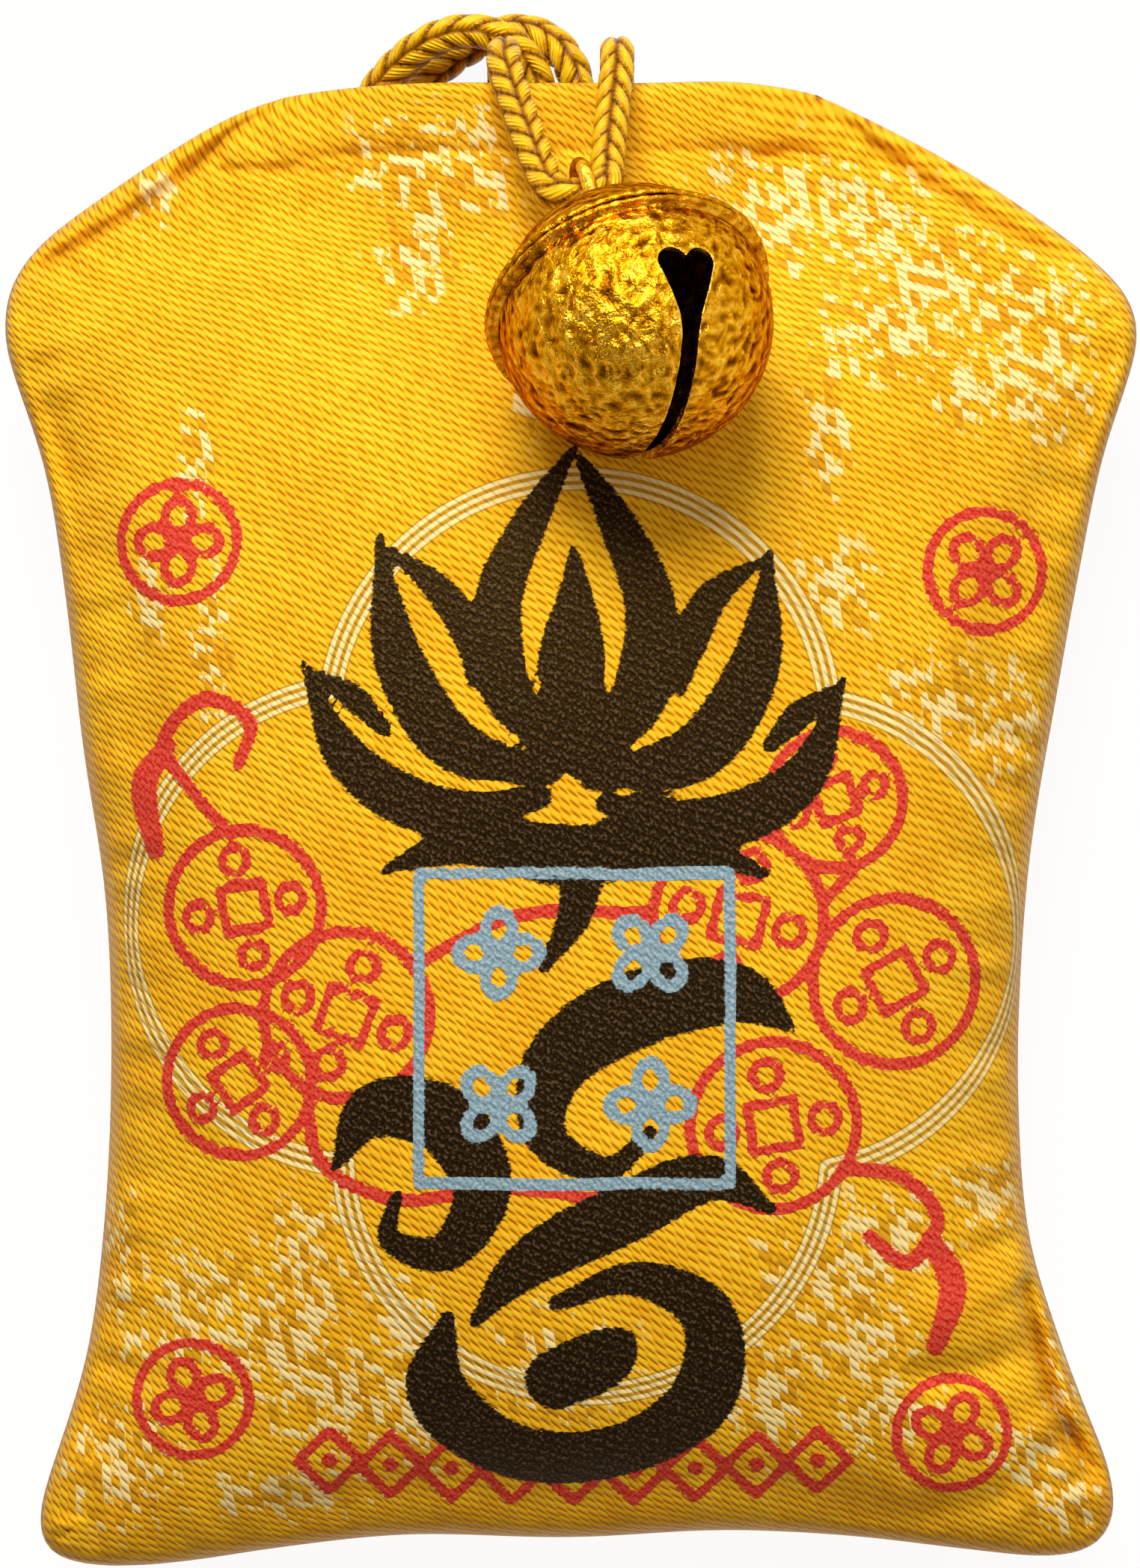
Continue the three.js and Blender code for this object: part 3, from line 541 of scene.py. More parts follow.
def foldedHeight(side, x, y, height):
    sign = 1 if side == "front" else -1
    fromSeam, alongSeam = nearLine(x, y, seamLine[::2])
    fromHem, _ = nearLine(x, y, hemLine[::2])
    lift = np.zeros(len(x))
    creaseShade = np.zeros(len(x))
    for points, width, rise in folds[side]:
        line = smoothLine(points, 6)
        away, along = nearLine(x, y, line)
        lift += rise * np.exp(-(away / width) ** 2)
        # a sharp fold also gets a line of painted shade that darkens the colour along it
        if width < sharpFolds["under"]:
            taper = smoothstep(np.minimum(along, lineLength(line) - along), -0.5, 3)
            shade = sharpFolds["shade"] * min(1, -rise) * taper * np.exp(-(away / sharpFolds["width"]) ** 2)
            creaseShade = np.maximum(creaseShade, shade)
    # waves along the seam, and shallow ones over the whole face
    turns = 2 * math.pi * alongSeam / seamPuckers["pitch"]
    wave = np.sin(turns + 1.4 * np.sin(turns / 3.7)) + 0.5 * np.sin(1.83 * turns + 2 * np.sin(turns / 5.3))
    lift += seamPuckers["height"] * wave * np.exp(-((fromSeam - seamPuckers["place"]) / seamPuckers["reach"]) ** 2)
    waves = np.sin(x / shallowWaves["across"] + 1.3) * np.sin(y / shallowWaves["along"] + 0.4)
    lift += shallowWaves["height"] * waves * smoothstep(fromSeam, 2, 8)
    # the row of stitches under the hem
    if side == "front":
        stitched = np.exp(-(hemDistance(x, y) / hemStitches["width"]) ** 2)
        lift -= hemStitches["depth"] * stitched * smoothstep(fromSeam, 0.3, 2)
    # no fold at the very edge, and no rise under the bell
    lift *= smoothstep(np.minimum(fromSeam, fromHem), 0, seamPuckers["plain"])
    underBell = np.hypot(x - bellPlan[0], y - bellPlan[1])
    lift = np.minimum(lift, 0) + np.maximum(lift, 0) * smoothstep(underBell, bellPlan[2], bellPlan[2] + 3)
    height = height + lift if side == "front" else np.maximum(height + lift * (height > 0.5), 0)
    # the cloth rolls in at the hem, and meets the other panel at the seam
    roll = seamPuckers["roll"]
    height -= sign * (roll - roll * np.sqrt(1 - np.clip(1 - fromHem / roll, 0, 1) ** 2))
    closed = np.sqrt(1 - np.clip(1 - fromSeam / roll, 0, 1) ** 2)
    rim = seamZ(y) - sign * seamPuckers["gap"]
    return rim + (height - rim) * closed, creaseShade


# signed distance in plan from the line of stitches under the hem
def hemDistance(x, y):
    top = np.interp(x, hemLine[:, 0], hemLine[:, 1])
    return y - (top - pouch["hemDepth"])


# shares that crowd towards the edges, where the seam turns
def easedShares(share):
    return share * (1 - panel["easing"]) + panel["easing"] * (1 - np.cos(math.pi * share)) / 2


# millimetres along the cloth itself, so that the weave follows its swell: the plan, and what the swell adds
def writeClothPlace(mesh, points):
    rows, columns = points.shape[0] // 2, points.shape[1] // 2
    place = np.zeros(points.shape)
    for k, middle in ((0, columns), (1, rows)):
        steps = np.diff(points, axis=1 - k)
        spare = np.linalg.norm(steps, axis=2) - np.linalg.norm(steps[:, :, :2], axis=2)
        grown = np.insert(np.cumsum(spare, axis=1 - k), 0, 0, axis=1 - k)
        place[:, :, k] = points[:, :, k] + grown - np.take(grown, [middle], axis=1 - k)
    mesh.attributes.new("clothPlace", "FLOAT_VECTOR", "POINT").data.foreach_set("vector", place.ravel())


# a distance in plan becomes one along the cloth, so that a woven line keeps its width down the sides
def alongCloth(distance, points):
    values = distance.reshape(points.shape[:2])
    down, right = np.gradient(points, axis=(0, 1))
    valueDown, valueRight = np.gradient(values)
    a, b, c = (down * down).sum(2), (down * right).sum(2), (right * right).sum(2)
    steep = (valueDown ** 2 * c - 2 * valueDown * valueRight * b + valueRight ** 2 * a) / (a * c - b * b + 1e-12)
    return (values / np.clip(np.sqrt(steep), 0.15, 1)).ravel()


def panelGrid(side):
    columns, rows = panel[side + "Grid"]
    bm = bmesh.new()
    bmesh.ops.create_grid(bm, x_segments=columns, y_segments=rows, size=0.5)
    across, along = gridShares(bm)
    across, along = easedShares(across), easedShares(along)
    x, y = planPoints(across, along)
    moveVerts(bm, np.stack([x, y, 0 * x], axis=-1))
    corners = [edges["top"][0], edges["top"][-1], edges["bottom"][0], edges["bottom"][-1]]
    fromCorner = np.min([np.hypot(x - corner[0], y - corner[1]) for corner in corners], axis=0)
    near = fromCorner < panel["cornerReach"]
    loose = [vert for vert, close in zip(bm.verts, near) if close and not vert.is_boundary]
    for _ in range(panel["cornerPasses"]):
        bmesh.ops.smooth_vert(bm, verts=loose, factor=0.5, use_axis_x=True, use_axis_y=True, use_axis_z=False)
    x, y = (np.array([vert.co[k] for vert in bm.verts]) / mm for k in (0, 1))
    height = (frontHeight if side == "front" else backHeight)(across, x, y)
    z, creaseShade = foldedHeight(side, x, y, height)
    moveVerts(bm, np.stack([x, y, z], axis=-1))
    if side == "back":
        bmesh.ops.reverse_faces(bm, faces=bm.faces)
    mesh = finishMesh(bm, side + "Panel")
    swell = np.stack([x, y, height], axis=-1).reshape(rows + 1, columns + 1, 3)
    writeAttribute(mesh, "creaseShade", creaseShade)
    writeClothPlace(mesh, swell)
    return mesh, swell


# Woven ornaments, as distances in plan from their edges, below zero inside
def brushStrokes(x, y, strokes):
    best = np.full(len(x), 9.0)
    for stroke in strokes:
        line = smoothLine(stroke, 5)
        for start, end in zip(line[:-1], line[1:]):
            step = end[:2] - start[:2]
            share = np.clip(((x - start[0]) * step[0] + (y - start[1]) * step[1]) / max(step @ step, 1e-9), 0, 1)
            away = np.hypot(x - start[0] - share * step[0], y - start[1] - share * step[1])
            best = np.minimum(best, away - start[2] - share * (end[2] - start[2]))
    return best


def turnedPlan(x, y, centre, angle):
    c, s = math.cos(math.radians(angle)), math.sin(math.radians(angle))
    return (x - centre[0]) * c + (y - centre[1]) * s, (y - centre[1]) * c - (x - centre[0]) * s


def ringDistance(x, y, centre, radius, width):
    return np.abs(np.hypot(x - centre[0], y - centre[1]) - radius) - width / 2


def frameDistance(x, y, centre, half, width, angle=0):
    u, v = turnedPlan(x, y, centre, angle)
    return np.abs(np.maximum(np.abs(u) - half, np.abs(v) - half)) - width / 2


# an open flower of four petals round a dot
def floretDistance(x, y, centre, size, width, angle=0):
    u, v = turnedPlan(x, y, centre, angle)
    best = np.hypot(u, v) - width * 0.8
    for turn in range(4):
        pu, pv = turnedPlan(u, v, (0, 0), 90 * turn)
        petal = np.hypot((pu - size * 0.55) / 1.25, pv) - size * 0.3
        best = np.minimum(best, np.abs(petal) - width / 2)
    return best


brushLotus = [
    [(-0.3, 3.2, 0.7), (-3.4, 7.0, 1.35), (-3.8, 11.4, 1.25), (-2.0, 15.8, 0.9), (0.1, 19.3, 0.2)],
    [(0.5, 3.0, 0.8), (3.5, 6.6, 1.5), (4.1, 11.0, 1.35), (2.3, 15.6, 0.95), (0.3, 19.0, 0.2)],
    [(0.1, 4.6, 1.5), (0.0, 8.4, 1.75), (0.2, 11.4, 1.0), (0.1, 14.2, 0.15)],
    [(-1.2, 2.6, 0.7), (-6.0, 4.0, 1.4), (-8.9, 8.4, 1.3), (-9.9, 14.8, 0.15)],
    [(-9.7, 14.2, 0.15), (-7.0, 12.2, 0.75), (-5.2, 9.6, 0.9), (-5.0, 7.2, 0.3)],
    [(1.2, 2.4, 0.8), (6.4, 3.6, 1.5), (9.4, 8.0, 1.35), (10.2, 14.0, 0.15)],
    [(10.0, 13.6, 0.15), (7.4, 11.8, 0.8), (5.9, 9.0, 0.95), (5.6, 6.8, 0.3)],
    [(-1.6, 1.3, 0.6), (-7.2, 0.7, 1.3), (-11.4, 3.2, 1.15), (-13.8, 8.2, 0.15)],
    [(-13.6, 7.8, 0.15), (-11.2, 6.4, 0.7), (-9.6, 4.8, 0.4)],
    [(1.8, 1.0, 0.6), (7.4, 0.0, 1.4), (11.8, 2.2, 1.2), (14.0, 7.4, 0.15)],
    [(13.8, 7.0, 0.15), (11.8, 5.6, 0.75), (10.2, 4.0, 0.4)],
    [(-9.6, -2.4, 0.2), (-5.0, -0.9, 1.3), (0.0, -1.7, 1.6), (5.2, -1.0, 1.3), (10.0, -2.6, 0.2)],
    [(0.6, -1.6, 1.2), (0.2, -4.6, 0.9), (-1.4, -7.4, 0.3)],
]
brushCloud = [
    [(11.4, -10.6, 0.2), (8.6, -8.8, 1.5), (3.8, -9.4, 2.0), (-0.8, -12.4, 1.7), (-1.4, -16.0, 1.1),
     (1.8, -17.9, 0.7), (4.0, -16.0, 0.4)],
    [(-12.2, -17.8, 0.2), (-10.2, -14.8, 1.4), (-6.4, -15.4, 1.8), (-4.6, -19.0, 1.5), (-6.6, -22.2, 1.0),
     (-9.4, -21.4, 0.6), (-9.0, -19.2, 0.3)],
    [(10.4, -20.0, 0.2), (7.2, -18.3, 1.2), (2.2, -20.4, 1.6), (-2.6, -23.0, 1.2), (-5.0, -25.8, 0.3)],
    [(-6.4, -25.6, 0.4), (-7.0, -29.4, 1.6), (-3.2, -32.6, 1.5), (2.6, -32.6, 1.4), (6.9, -29.6, 1.7),
     (7.0, -25.4, 1.4), (3.2, -23.5, 0.9), (-0.8, -24.8, 0.4)],
    [(-0.8, -28.8, 1.6), (1.8, -27.6, 1.5), (2.9, -26.6, 0.4)],
]
coins = [
    ((-16.9, -4.4), 4.0, 12), ((-11.6, -9.9), 4.3, -20), ((-17.2, -13.4), 3.8, 35), ((13.6, 1.2), 3.5, 20),
    ((8.6, -4.9), 4.4, -14), ((16.7, -8.2), 4.3, 28), ((10.4, -15.6), 4.3, 8),
]
redCords = [
    [(-17.6, -0.6, 0.3), (-19.6, 1.6, 0.3), (-21.2, 4.2, 0.35), (-19.0, 6.4, 0.35), (-16.6, 5.2, 0.35),
     (-17.2, 3.0, 0.3)],
    [(-21.0, 4.0, 0.5), (-22.2, 2.0, 0.7), (-21.6, -1.4, 0.5)],
    [(-13.6, -13.6, 0.3), (-13.0, -17.4, 0.3), (-9.2, -19.4, 0.3), (-3.0, -18.8, 0.3), (4.0, -19.6, 0.3),
     (7.6, -18.4, 0.3)],
    [(14.0, -17.8, 0.3), (17.2, -18.4, 0.35), (19.0, -20.6, 0.4), (17.4, -22.8, 0.4), (15.4, -21.4, 0.35)],
    [(18.6, -21.6, 0.5), (19.8, -24.0, 0.75), (18.9, -27.2, 0.5)],
    [(-8.2, -7.4, 0.3), (-3.0, -4.8, 0.3), (4.2, -4.6, 0.3)],
    [(13.0, -4.0, 0.3), (14.6, -2.4, 0.3)],
]
coinLines = {"ring": 0.55, "square": 0.28, "squareLine": 0.45, "dotPlace": 0.62, "dot": 0.17, "dotLine": 0.42}
sealLines = {"ring": 0.5, "floret": 0.78, "floretLine": 0.42}
seals = [((-20.4, 14.6), 3.05, 0), ((21.5, 13.1), 3.05, 45), ((-19.7, -30.0), 2.95, 20), ((19.8, -31.8), 2.9, -25)]
blueFrame = {"centre": (0.15, -10.6), "half": 8.0, "width": 0.5, "spread": 3.9, "floret": 2.3}
redBorder = {"from": -12.6, "to": 12.8, "count": 9, "y": -33.2, "sag": 0.6, "size": 1.15, "width": 0.5, "dot": 0.45}
quatrefoil = [((0.4, 4.8), 13.0), ((-10.6, -5.3), 12.4), ((11.1, -5.8), 12.3), ((0.8, -17.0), 12.6)]
clouds = [
    (-8.5, 34.8, 2.6, 2.2), (-5.0, 34.6, 1.8, 2.4), (-8.1, 30.2, 1.8, 2.8), (11.0, 32.0, 3.4, 3.0),
    (15.4, 31.6, 3.2, 2.6), (18.6, 28.6, 3.6, 2.2), (16.4, 25.6, 3.0, 2.0), (23.1, 27.1, 3.4, 2.4),
    (24.6, 23.6, 2.4, 3.0), (13.4, 21.6, 1.0, 3.6), (20.6, 22.6, 1.6, 1.6), (13.6, 12.0, 1.9, 1.9),
    (19.0, 6.4, 2.4, 1.9), (22.8, 5.0, 1.7, 2.4), (-19.4, 18.8, 0.7, 3.0), (-18.6, 9.0, 0.8, 3.0),
    (-22.0, 11.5, 0.9, 1.6), (-19.0, -24.6, 2.6, 2.2), (-15.2, -26.6, 3.0, 2.6), (-8.6, -27.6, 2.0, 3.4),
    (-23.4, -33.4, 2.4, 2.6), (-14.8, -35.0, 3.4, 1.2), (12.8, -23.6, 2.6, 2.6), (17.0, -21.4, 2.4, 2.0),
    (15.0, -27.4, 2.6, 1.8), (25.3, -25.6, 0.5, 3.0), (26.2, -29.6, 0.5, 2.6), (24.4, -34.0, 1.2, 1.0),
    (10.4, -29.8, 2.0, 2.6), (-0.6, -28.0, 3.0, 2.4), (-2.0, 22.8, 0.8, 2.0), (-22.0, 33.2, 1.0, 1.5),
    (-12.0, -29.5, 3.8, 2.4), (-8.0, -30.8, 2.2, 2.2), (-13.6, -23.0, 2.0, 2.8), (-21.0, -27.4, 2.4, 0.9),
    (-23.4, -22.5, 0.8, 2.6), (15.4, -24.5, 1.5, 4.6), (16.2, -30.5, 2.4, 2.0), (24.4, -33.0, 2.0, 1.8),
    (26.0, -35.6, 1.6, 1.2), (21.8, -19.4, 2.0, 1.4),
]


def cloudShare(x, y, places):
    share = np.zeros(len(x))
    for cx, cy, rx, ry in places:
        share = np.maximum(share, np.exp(-((x - cx) / rx) ** 2 - ((y - cy) / ry) ** 2))
    return share


def weaveOrnaments(mesh, points):
    x, y = points[:, :, 0].ravel(), points[:, :, 1].ravel()
    black = brushStrokes(x, y, brushLotus + brushCloud)
    red = brushStrokes(x, y, redCords)
    for centre, radius, angle in coins:
        square = frameDistance(x, y, centre, radius * coinLines["square"], coinLines["squareLine"], angle)
        red = np.minimum(red, np.minimum(ringDistance(x, y, centre, radius, coinLines["ring"]), square))
        for turn in range(4):
            u, v = turnedPlan(x, y, centre, angle + 90 * turn)
            dot = (radius * coinLines["dotPlace"], 0)
            red = np.minimum(red, ringDistance(u, v, dot, radius * coinLines["dot"], coinLines["dotLine"]))
    for centre, radius, angle in seals:
        floret = floretDistance(x, y, centre, radius * sealLines["floret"], sealLines["floretLine"], angle)
        red = np.minimum(red, np.minimum(ringDistance(x, y, centre, radius, sealLines["ring"]), floret))
    for k in range(redBorder["count"]):
        share = k / (redBorder["count"] - 1)
        centre = (redBorder["from"] + share * (redBorder["to"] - redBorder["from"]),
                  redBorder["y"] - redBorder["sag"] * math.sin(math.pi * share))
        diamond = frameDistance(x, y, centre, redBorder["size"], redBorder["width"], 45)
        dot = np.hypot(x - centre[0], y - centre[1]) - redBorder["dot"]
        red = np.minimum(red, np.minimum(diamond, dot))
    blue = frameDistance(x, y, blueFrame["centre"], blueFrame["half"], blueFrame["width"])
    for sx, sy in ((-1, -1), (-1, 1), (1, -1), (1, 1)):
        centre = np.array(blueFrame["centre"]) + np.array((sx, sy)) * blueFrame["spread"]
        blue = np.minimum(blue, floretDistance(x, y, centre, blueFrame["floret"], 0.5, 45 if sx == sy else 0))
    lobes = np.min([np.hypot(x - cx, y - cy) - radius for (cx, cy), radius in quatrefoil], axis=0)
    for name, distance in (("blackYarn", black), ("redYarn", red), ("blueYarn", blue), ("quatrefoil", lobes)):
        writeAttribute(mesh, name, alongCloth(distance, points))
    writeAttribute(mesh, "cloud", cloudShare(x, y, clouds))


# Golden viscose brocade: steep twill whose short floats lie in slanting ribs 0.48 mm apart, with a soft
# gloss on each float and painted brown shade in the colour between them. Clouds of pale floats show
# through it in ragged patches, and the ornaments are in duller, raised yarn
twill = {
    "rib": 0.48, "float": 0.57, "stagger": 0.545, "tilt": 0.5, "slant": 21, "depth": 0.085,
    "ground": [(0.0, "#B87006"), (0.3, "#D48C0A"), (0.6, "#F0AA10"), (1.0, "#FFCE30")],
    "pale": [(0.0, "#B47C28"), (0.3, "#DDAF52"), (0.6, "#F3D584"), (1.0, "#FCEAAC")],
    "yarns": [
        ("redYarn", [(0.3, "#A81E16"), (0.5, "#D5352A"), (0.7, "#E55A46")]),
        ("blackYarn", [(0.35, "#0B0603"), (0.58, "#1C120B"), (0.72, "#57442F")]),
        ("blueYarn", [(0.3, "#68838F"), (0.55, "#84A1AE"), (0.7, "#A9C0C8")]),
    ],
}


# millimetres along the cloth
def clothPlace(tree, turn=0.0, stretch=(1, 1, 1)):
    place = addNode(tree, "Attribute", attribute_name="clothPlace").outputs["Vector"]
    return addNode(tree, "Mapping", {"Vector": place, "Rotation": (0, 0, turn), "Scale": stretch})


# height of the floats, and a random value for each float
def weaveFloats(tree):
    place = clothPlace(tree)
    wander = addNode(tree, "TexNoise", {"Vector": place, "Scale": 0.22, "Detail": 2.0}).outputs["Color"]
    wander = addNode(tree, "VectorMath", {0: wander, 1: (0.5, 0.5, 0.5)}, operation="SUBTRACT")
    wander = addNode(tree, "VectorMath", {0: wander, 1: (0.7, 0.7, 0)}, operation="MULTIPLY")
    place = addNode(tree, "VectorMath", {0: place, 1: wander}, operation="ADD")
    turned = addNode(tree, "Mapping", {"Vector": place, "Rotation": (0, 0, math.radians(twill["slant"])),
                                       "Scale": (1 / twill["float"], 1 / twill["rib"], 1)})
    parts = addNode(tree, "SeparateXYZ", {0: turned})
    row = parts.outputs["Y"]
    run = addNode(tree, "Math", {0: row, 1: twill["stagger"], 2: parts.outputs["X"]}, operation="MULTIPLY_ADD")
    runShare = addNode(tree, "Math", {0: run}, operation="FRACT")
    along = addNode(tree, "Math", {0: runShare, 1: 2.0, 2: -1.0}, operation="MULTIPLY_ADD")
    tilted = addNode(tree, "Math", {0: along, 1: twill["tilt"] / 2, 2: row}, operation="MULTIPLY_ADD")
    rowShare = addNode(tree, "Math", {0: tilted}, operation="FRACT")
    across = addNode(tree, "Math", {0: rowShare, 1: 2.0, 2: -1.0}, operation="MULTIPLY_ADD")
    across = addNode(tree, "Math", {0: across}, operation="ABSOLUTE")
    along = addNode(tree, "Math", {0: along}, operation="ABSOLUTE")
    groove = addNode(tree, "Math", {0: across, 1: 2.6}, operation="POWER")
    end = addNode(tree, "Math", {0: along, 1: 3.0}, operation="POWER")
    middle = addNode(tree, "Math", {0: end, 1: -0.85, 2: 1.0}, operation="MULTIPLY_ADD")
    groove = addNode(tree, "Math", {0: groove, 1: middle}, operation="MULTIPLY")
    top = addNode(tree, "Math", {0: end, 1: -0.22, 2: 1.0}, operation="MULTIPLY_ADD")
    plump = addNode(tree, "Math", {0: 1.0, 1: groove}, operation="SUBTRACT")
    height = addNode(tree, "Math", {0: top, 1: plump}, operation="MULTIPLY")
    runNumber = addNode(tree, "Math", {0: run}, operation="FLOOR")
    rowNumber = addNode(tree, "Math", {0: row}, operation="FLOOR")
    cell = addNode(tree, "CombineXYZ", {0: runNumber, 1: rowNumber})
    chance = addNode(tree, "TexWhiteNoise", {"Vector": cell}, noise_dimensions="2D")
    return height, chance


# where pale floats cover the ground, and where single brown ones edge them
def paleMasks(tree, chance):
    cloud = addNode(tree, "Attribute", attribute_name="cloud").outputs["Fac"]
    value = cloud
    for turn, stretch, strength in ((0, (1.5, 0.38, 1), 2.6), (twill["slant"], (0.34, 1.3, 1), 1.8)):
        ragged = addNode(tree, "TexNoise", {"Vector": clothPlace(tree, math.radians(turn), stretch), "Scale": 1.0,
                                            "Detail": 3.0, "Roughness": 0.7})
        ragged = addNode(tree, "Math", {0: ragged, 1: strength, 2: -strength / 2}, operation="MULTIPLY_ADD")
        value = addNode(tree, "Math", {0: value, 1: ragged}, operation="ADD")
    single = addNode(tree, "Math", {0: chance, 1: 1.1, 2: -0.55}, operation="MULTIPLY_ADD")
    value = addNode(tree, "Math", {0: value, 1: single}, operation="ADD")
    near = addNode(tree, "MapRange", {"Value": cloud, "From Min": 0.02, "From Max": 0.2})
    pale = addNode(tree, "MapRange", {"Value": value, "From Min": 0.56, "From Max": 0.66})
    brown = addNode(tree, "MapRange", {"Value": value, "From Min": 0.2, "From Max": 0.5})
    lots = addNode(tree, "Math", {0: chance, 1: 7.0}, operation="MULTIPLY")
    lots = addNode(tree, "Math", {0: lots}, operation="FRACT")
    sparse = addNode(tree, "Math", {0: lots, 1: 0.32}, operation="LESS_THAN")
    others = addNode(tree, "Math", {0: 1.0, 1: sparse}, operation="SUBTRACT")
    brown = addNode(tree, "Math", {0: brown, 1: sparse}, operation="MULTIPLY")
    brown = addNode(tree, "Math", {0: brown, 1: near}, operation="MULTIPLY")
    pale = addNode(tree, "Math", {0: pale, 1: near}, operation="MULTIPLY")
    pale = addNode(tree, "Math", {0: pale, 1: others}, operation="MULTIPLY")
    return pale, brown


# four fine pale threads side by side along the quatrefoil
def weaveQuatrefoil(tree, colour):
    lobes = addNode(tree, "Attribute", attribute_name="quatrefoil").outputs["Fac"]
    turns = addNode(tree, "Math", {0: lobes, 1: 2 * math.pi / 0.45}, operation="MULTIPLY")
    threads = addNode(tree, "Math", {0: turns}, operation="COSINE")
    lines = addNode(tree, "MapRange", {"Value": threads, "From Min": -0.5, "From Max": 0.5})
    edging = addNode(tree, "ValToRGB", {0: lines}, [(0.0, "#B98622"), (0.6, "#F1D684"), (1.0, "#FAE8AC")])
    away = addNode(tree, "Math", {0: lobes}, operation="ABSOLUTE")
    band = addNode(tree, "Math", {0: away, 1: 0.66}, operation="LESS_THAN")
    band = addNode(tree, "Math", {0: band, 1: 0.8}, operation="MULTIPLY")
    return addNode(tree, "Mix", {0: band, 6: colour, 7: edging}, data_type="RGBA")


# raised yarns over the weave, with slightly frayed edges
def weaveYarns(tree, colour, height):
    floats = addNode(tree, "Math", {0: height, 1: 0.3, 2: -0.15}, operation="MULTIPLY_ADD")
    pebble = addNode(tree, "TexNoise", {"Vector": clothPlace(tree), "Scale": 5.5, "Detail": 1.0})
    grain = addNode(tree, "Math", {0: pebble, 1: 0.75, 2: floats}, operation="MULTIPLY_ADD")
    grain = addNode(tree, "Math", {0: grain, 1: 0.1}, operation="ADD")
    yarnHeight = addNode(tree, "Math", {0: 0.55, 1: grain}, operation="ADD")
    jitter = addNode(tree, "TexNoise", {"Vector": clothPlace(tree, stretch=(1, 1.8, 1)), "Scale": 3.0,
                                        "Detail": 1.0})
    fray = addNode(tree, "Math", {0: jitter, 1: 0.42, 2: -0.21}, operation="MULTIPLY_ADD")
    for attribute, stops in twill["yarns"]:
        distance = addNode(tree, "Attribute", attribute_name=attribute).outputs["Fac"]
        edge = addNode(tree, "Math", {0: distance, 1: fray}, operation="ADD")
        mask = addNode(tree, "MapRange", {"Value": edge, "From Min": 0.05, "From Max": -0.05})
        # the yarn colour follows its random grain and also the float height, which gives a little painted shade
        # between floats
        yarn = addNode(tree, "ValToRGB", {0: grain}, stops)
        colour = addNode(tree, "Mix", {0: mask, 6: colour, 7: yarn}, data_type="RGBA")
        height = addNode(tree, "Mix", {0: mask, 2: height, 3: yarnHeight}, data_type="FLOAT")
    return colour, height


def makeBrocade(name, ornamented):
    material, tree = newMaterial(name)
    height, chance = weaveFloats(tree)
    uneven = addNode(tree, "Math", {0: chance, 1: 0.2, 2: -0.1}, operation="MULTIPLY_ADD")
    shade = addNode(tree, "Math", {0: height, 1: uneven}, operation="ADD")
    # painted shade: the float height turns the ground colour brown in the grooves between floats
    ground = addNode(tree, "ValToRGB", {0: shade}, twill["ground"])
    broad = addNode(tree, "TexNoise", {"Vector": clothPlace(tree), "Scale": 0.13, "Detail": 3.0})
    tone = addNode(tree, "ValToRGB", {0: broad}, [(0.3, "#EBCFA8"), (0.62, "#FFFFFF")])
    colour = addNode(tree, "Mix", {0: 0.5, 6: ground, 7: tone}, data_type="RGBA", blend_type="MULTIPLY")
    pale, brown = paleMasks(tree, chance)
    # the pale floats hold the same painted shade between them
    paleThread = addNode(tree, "ValToRGB", {0: shade}, twill["pale"])
    for mask, share, thread in ((brown, 0.55, linear("#BC780E")), (pale, 0.85, paleThread)):
        cover = addNode(tree, "Math", {0: mask, 1: share}, operation="MULTIPLY")
        colour = addNode(tree, "Mix", {0: cover, 6: colour, 7: thread}, data_type="RGBA")
    if ornamented:
        colour = weaveQuatrefoil(tree, colour)
        colour, height = weaveYarns(tree, colour, height)
    # painted shade: the colour is darkened along the sharp folds, where shade falls
    creaseShade = addNode(tree, "Attribute", attribute_name="creaseShade").outputs["Fac"]
    shaded = addNode(tree, "Mix", {0: 1.0, 6: colour, 7: (0.42, 0.27, 0.12, 1)}, data_type="RGBA",
                     blend_type="MULTIPLY")
    colour = addNode(tree, "Mix", {0: creaseShade, 6: colour, 7: shaded}, data_type="RGBA")
    bump = addNode(tree, "Bump", {"Height": height, "Strength": 0.8, "Distance": twill["depth"] * mm})
    surface = addNode(tree, "BsdfPrincipled", {
        "Base Color": colour, "Roughness": 0.46, "Specular IOR Level": 0.2, "Specular Tint": linear("#FFC24A"),
        "Normal": bump})
    addNode(tree, "OutputMaterial", {"Surface": surface})
    return material


# the wall thins out at the four corners, where hem and seam run on in line
def closePanel(piece):
    thick = piece.vertex_groups.new(name="wall")
    for vert in piece.data.vertices:
        away = min(math.hypot(vert.co.x / mm - edges[side][k][0], vert.co.y / mm - edges[side][k][1])
                   for side in ("top", "bottom") for k in (0, -1))
        thick.add([vert.index], min(1.0, away / panel["thinReach"]) ** 2, "REPLACE")
    wall = piece.modifiers.new("cloth", "SOLIDIFY")
    wall.thickness = panel["wall"] * mm
    wall.offset = -1
    wall.use_rim = True
    wall.vertex_group = "wall"
    wall.thickness_vertex_group = panel["thinnest"]


def makeFrontPanel():
    mesh, points = panelGrid("front")
    weaveOrnaments(mesh, points)
    piece = addPiece("frontPanel", mesh, makeBrocade("wovenBrocadeFront", True), "brocade_front", "front_panel")
    closePanel(piece)
    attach(piece, "pouch")


def makeBackPanel():
    mesh, points = panelGrid("back")
    # the front's clouds, turned round and spread
    places = [(-cx * 0.9 + 2, -cy * 0.9 - 3, rx * 1.3, ry * 1.2) for cx, cy, rx, ry in clouds]
    writeAttribute(mesh, "cloud", cloudShare(points[:, :, 0].ravel(), points[:, :, 1].ravel(), places))
    piece = addPiece("backPanel", mesh, makeBrocade("wovenBrocadeBack", False), "brocade_back", "back_panel")
    closePanel(piece)
    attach(piece, "pouch")


makeFrontPanel()
makeBackPanel()
print("brocade panels made")

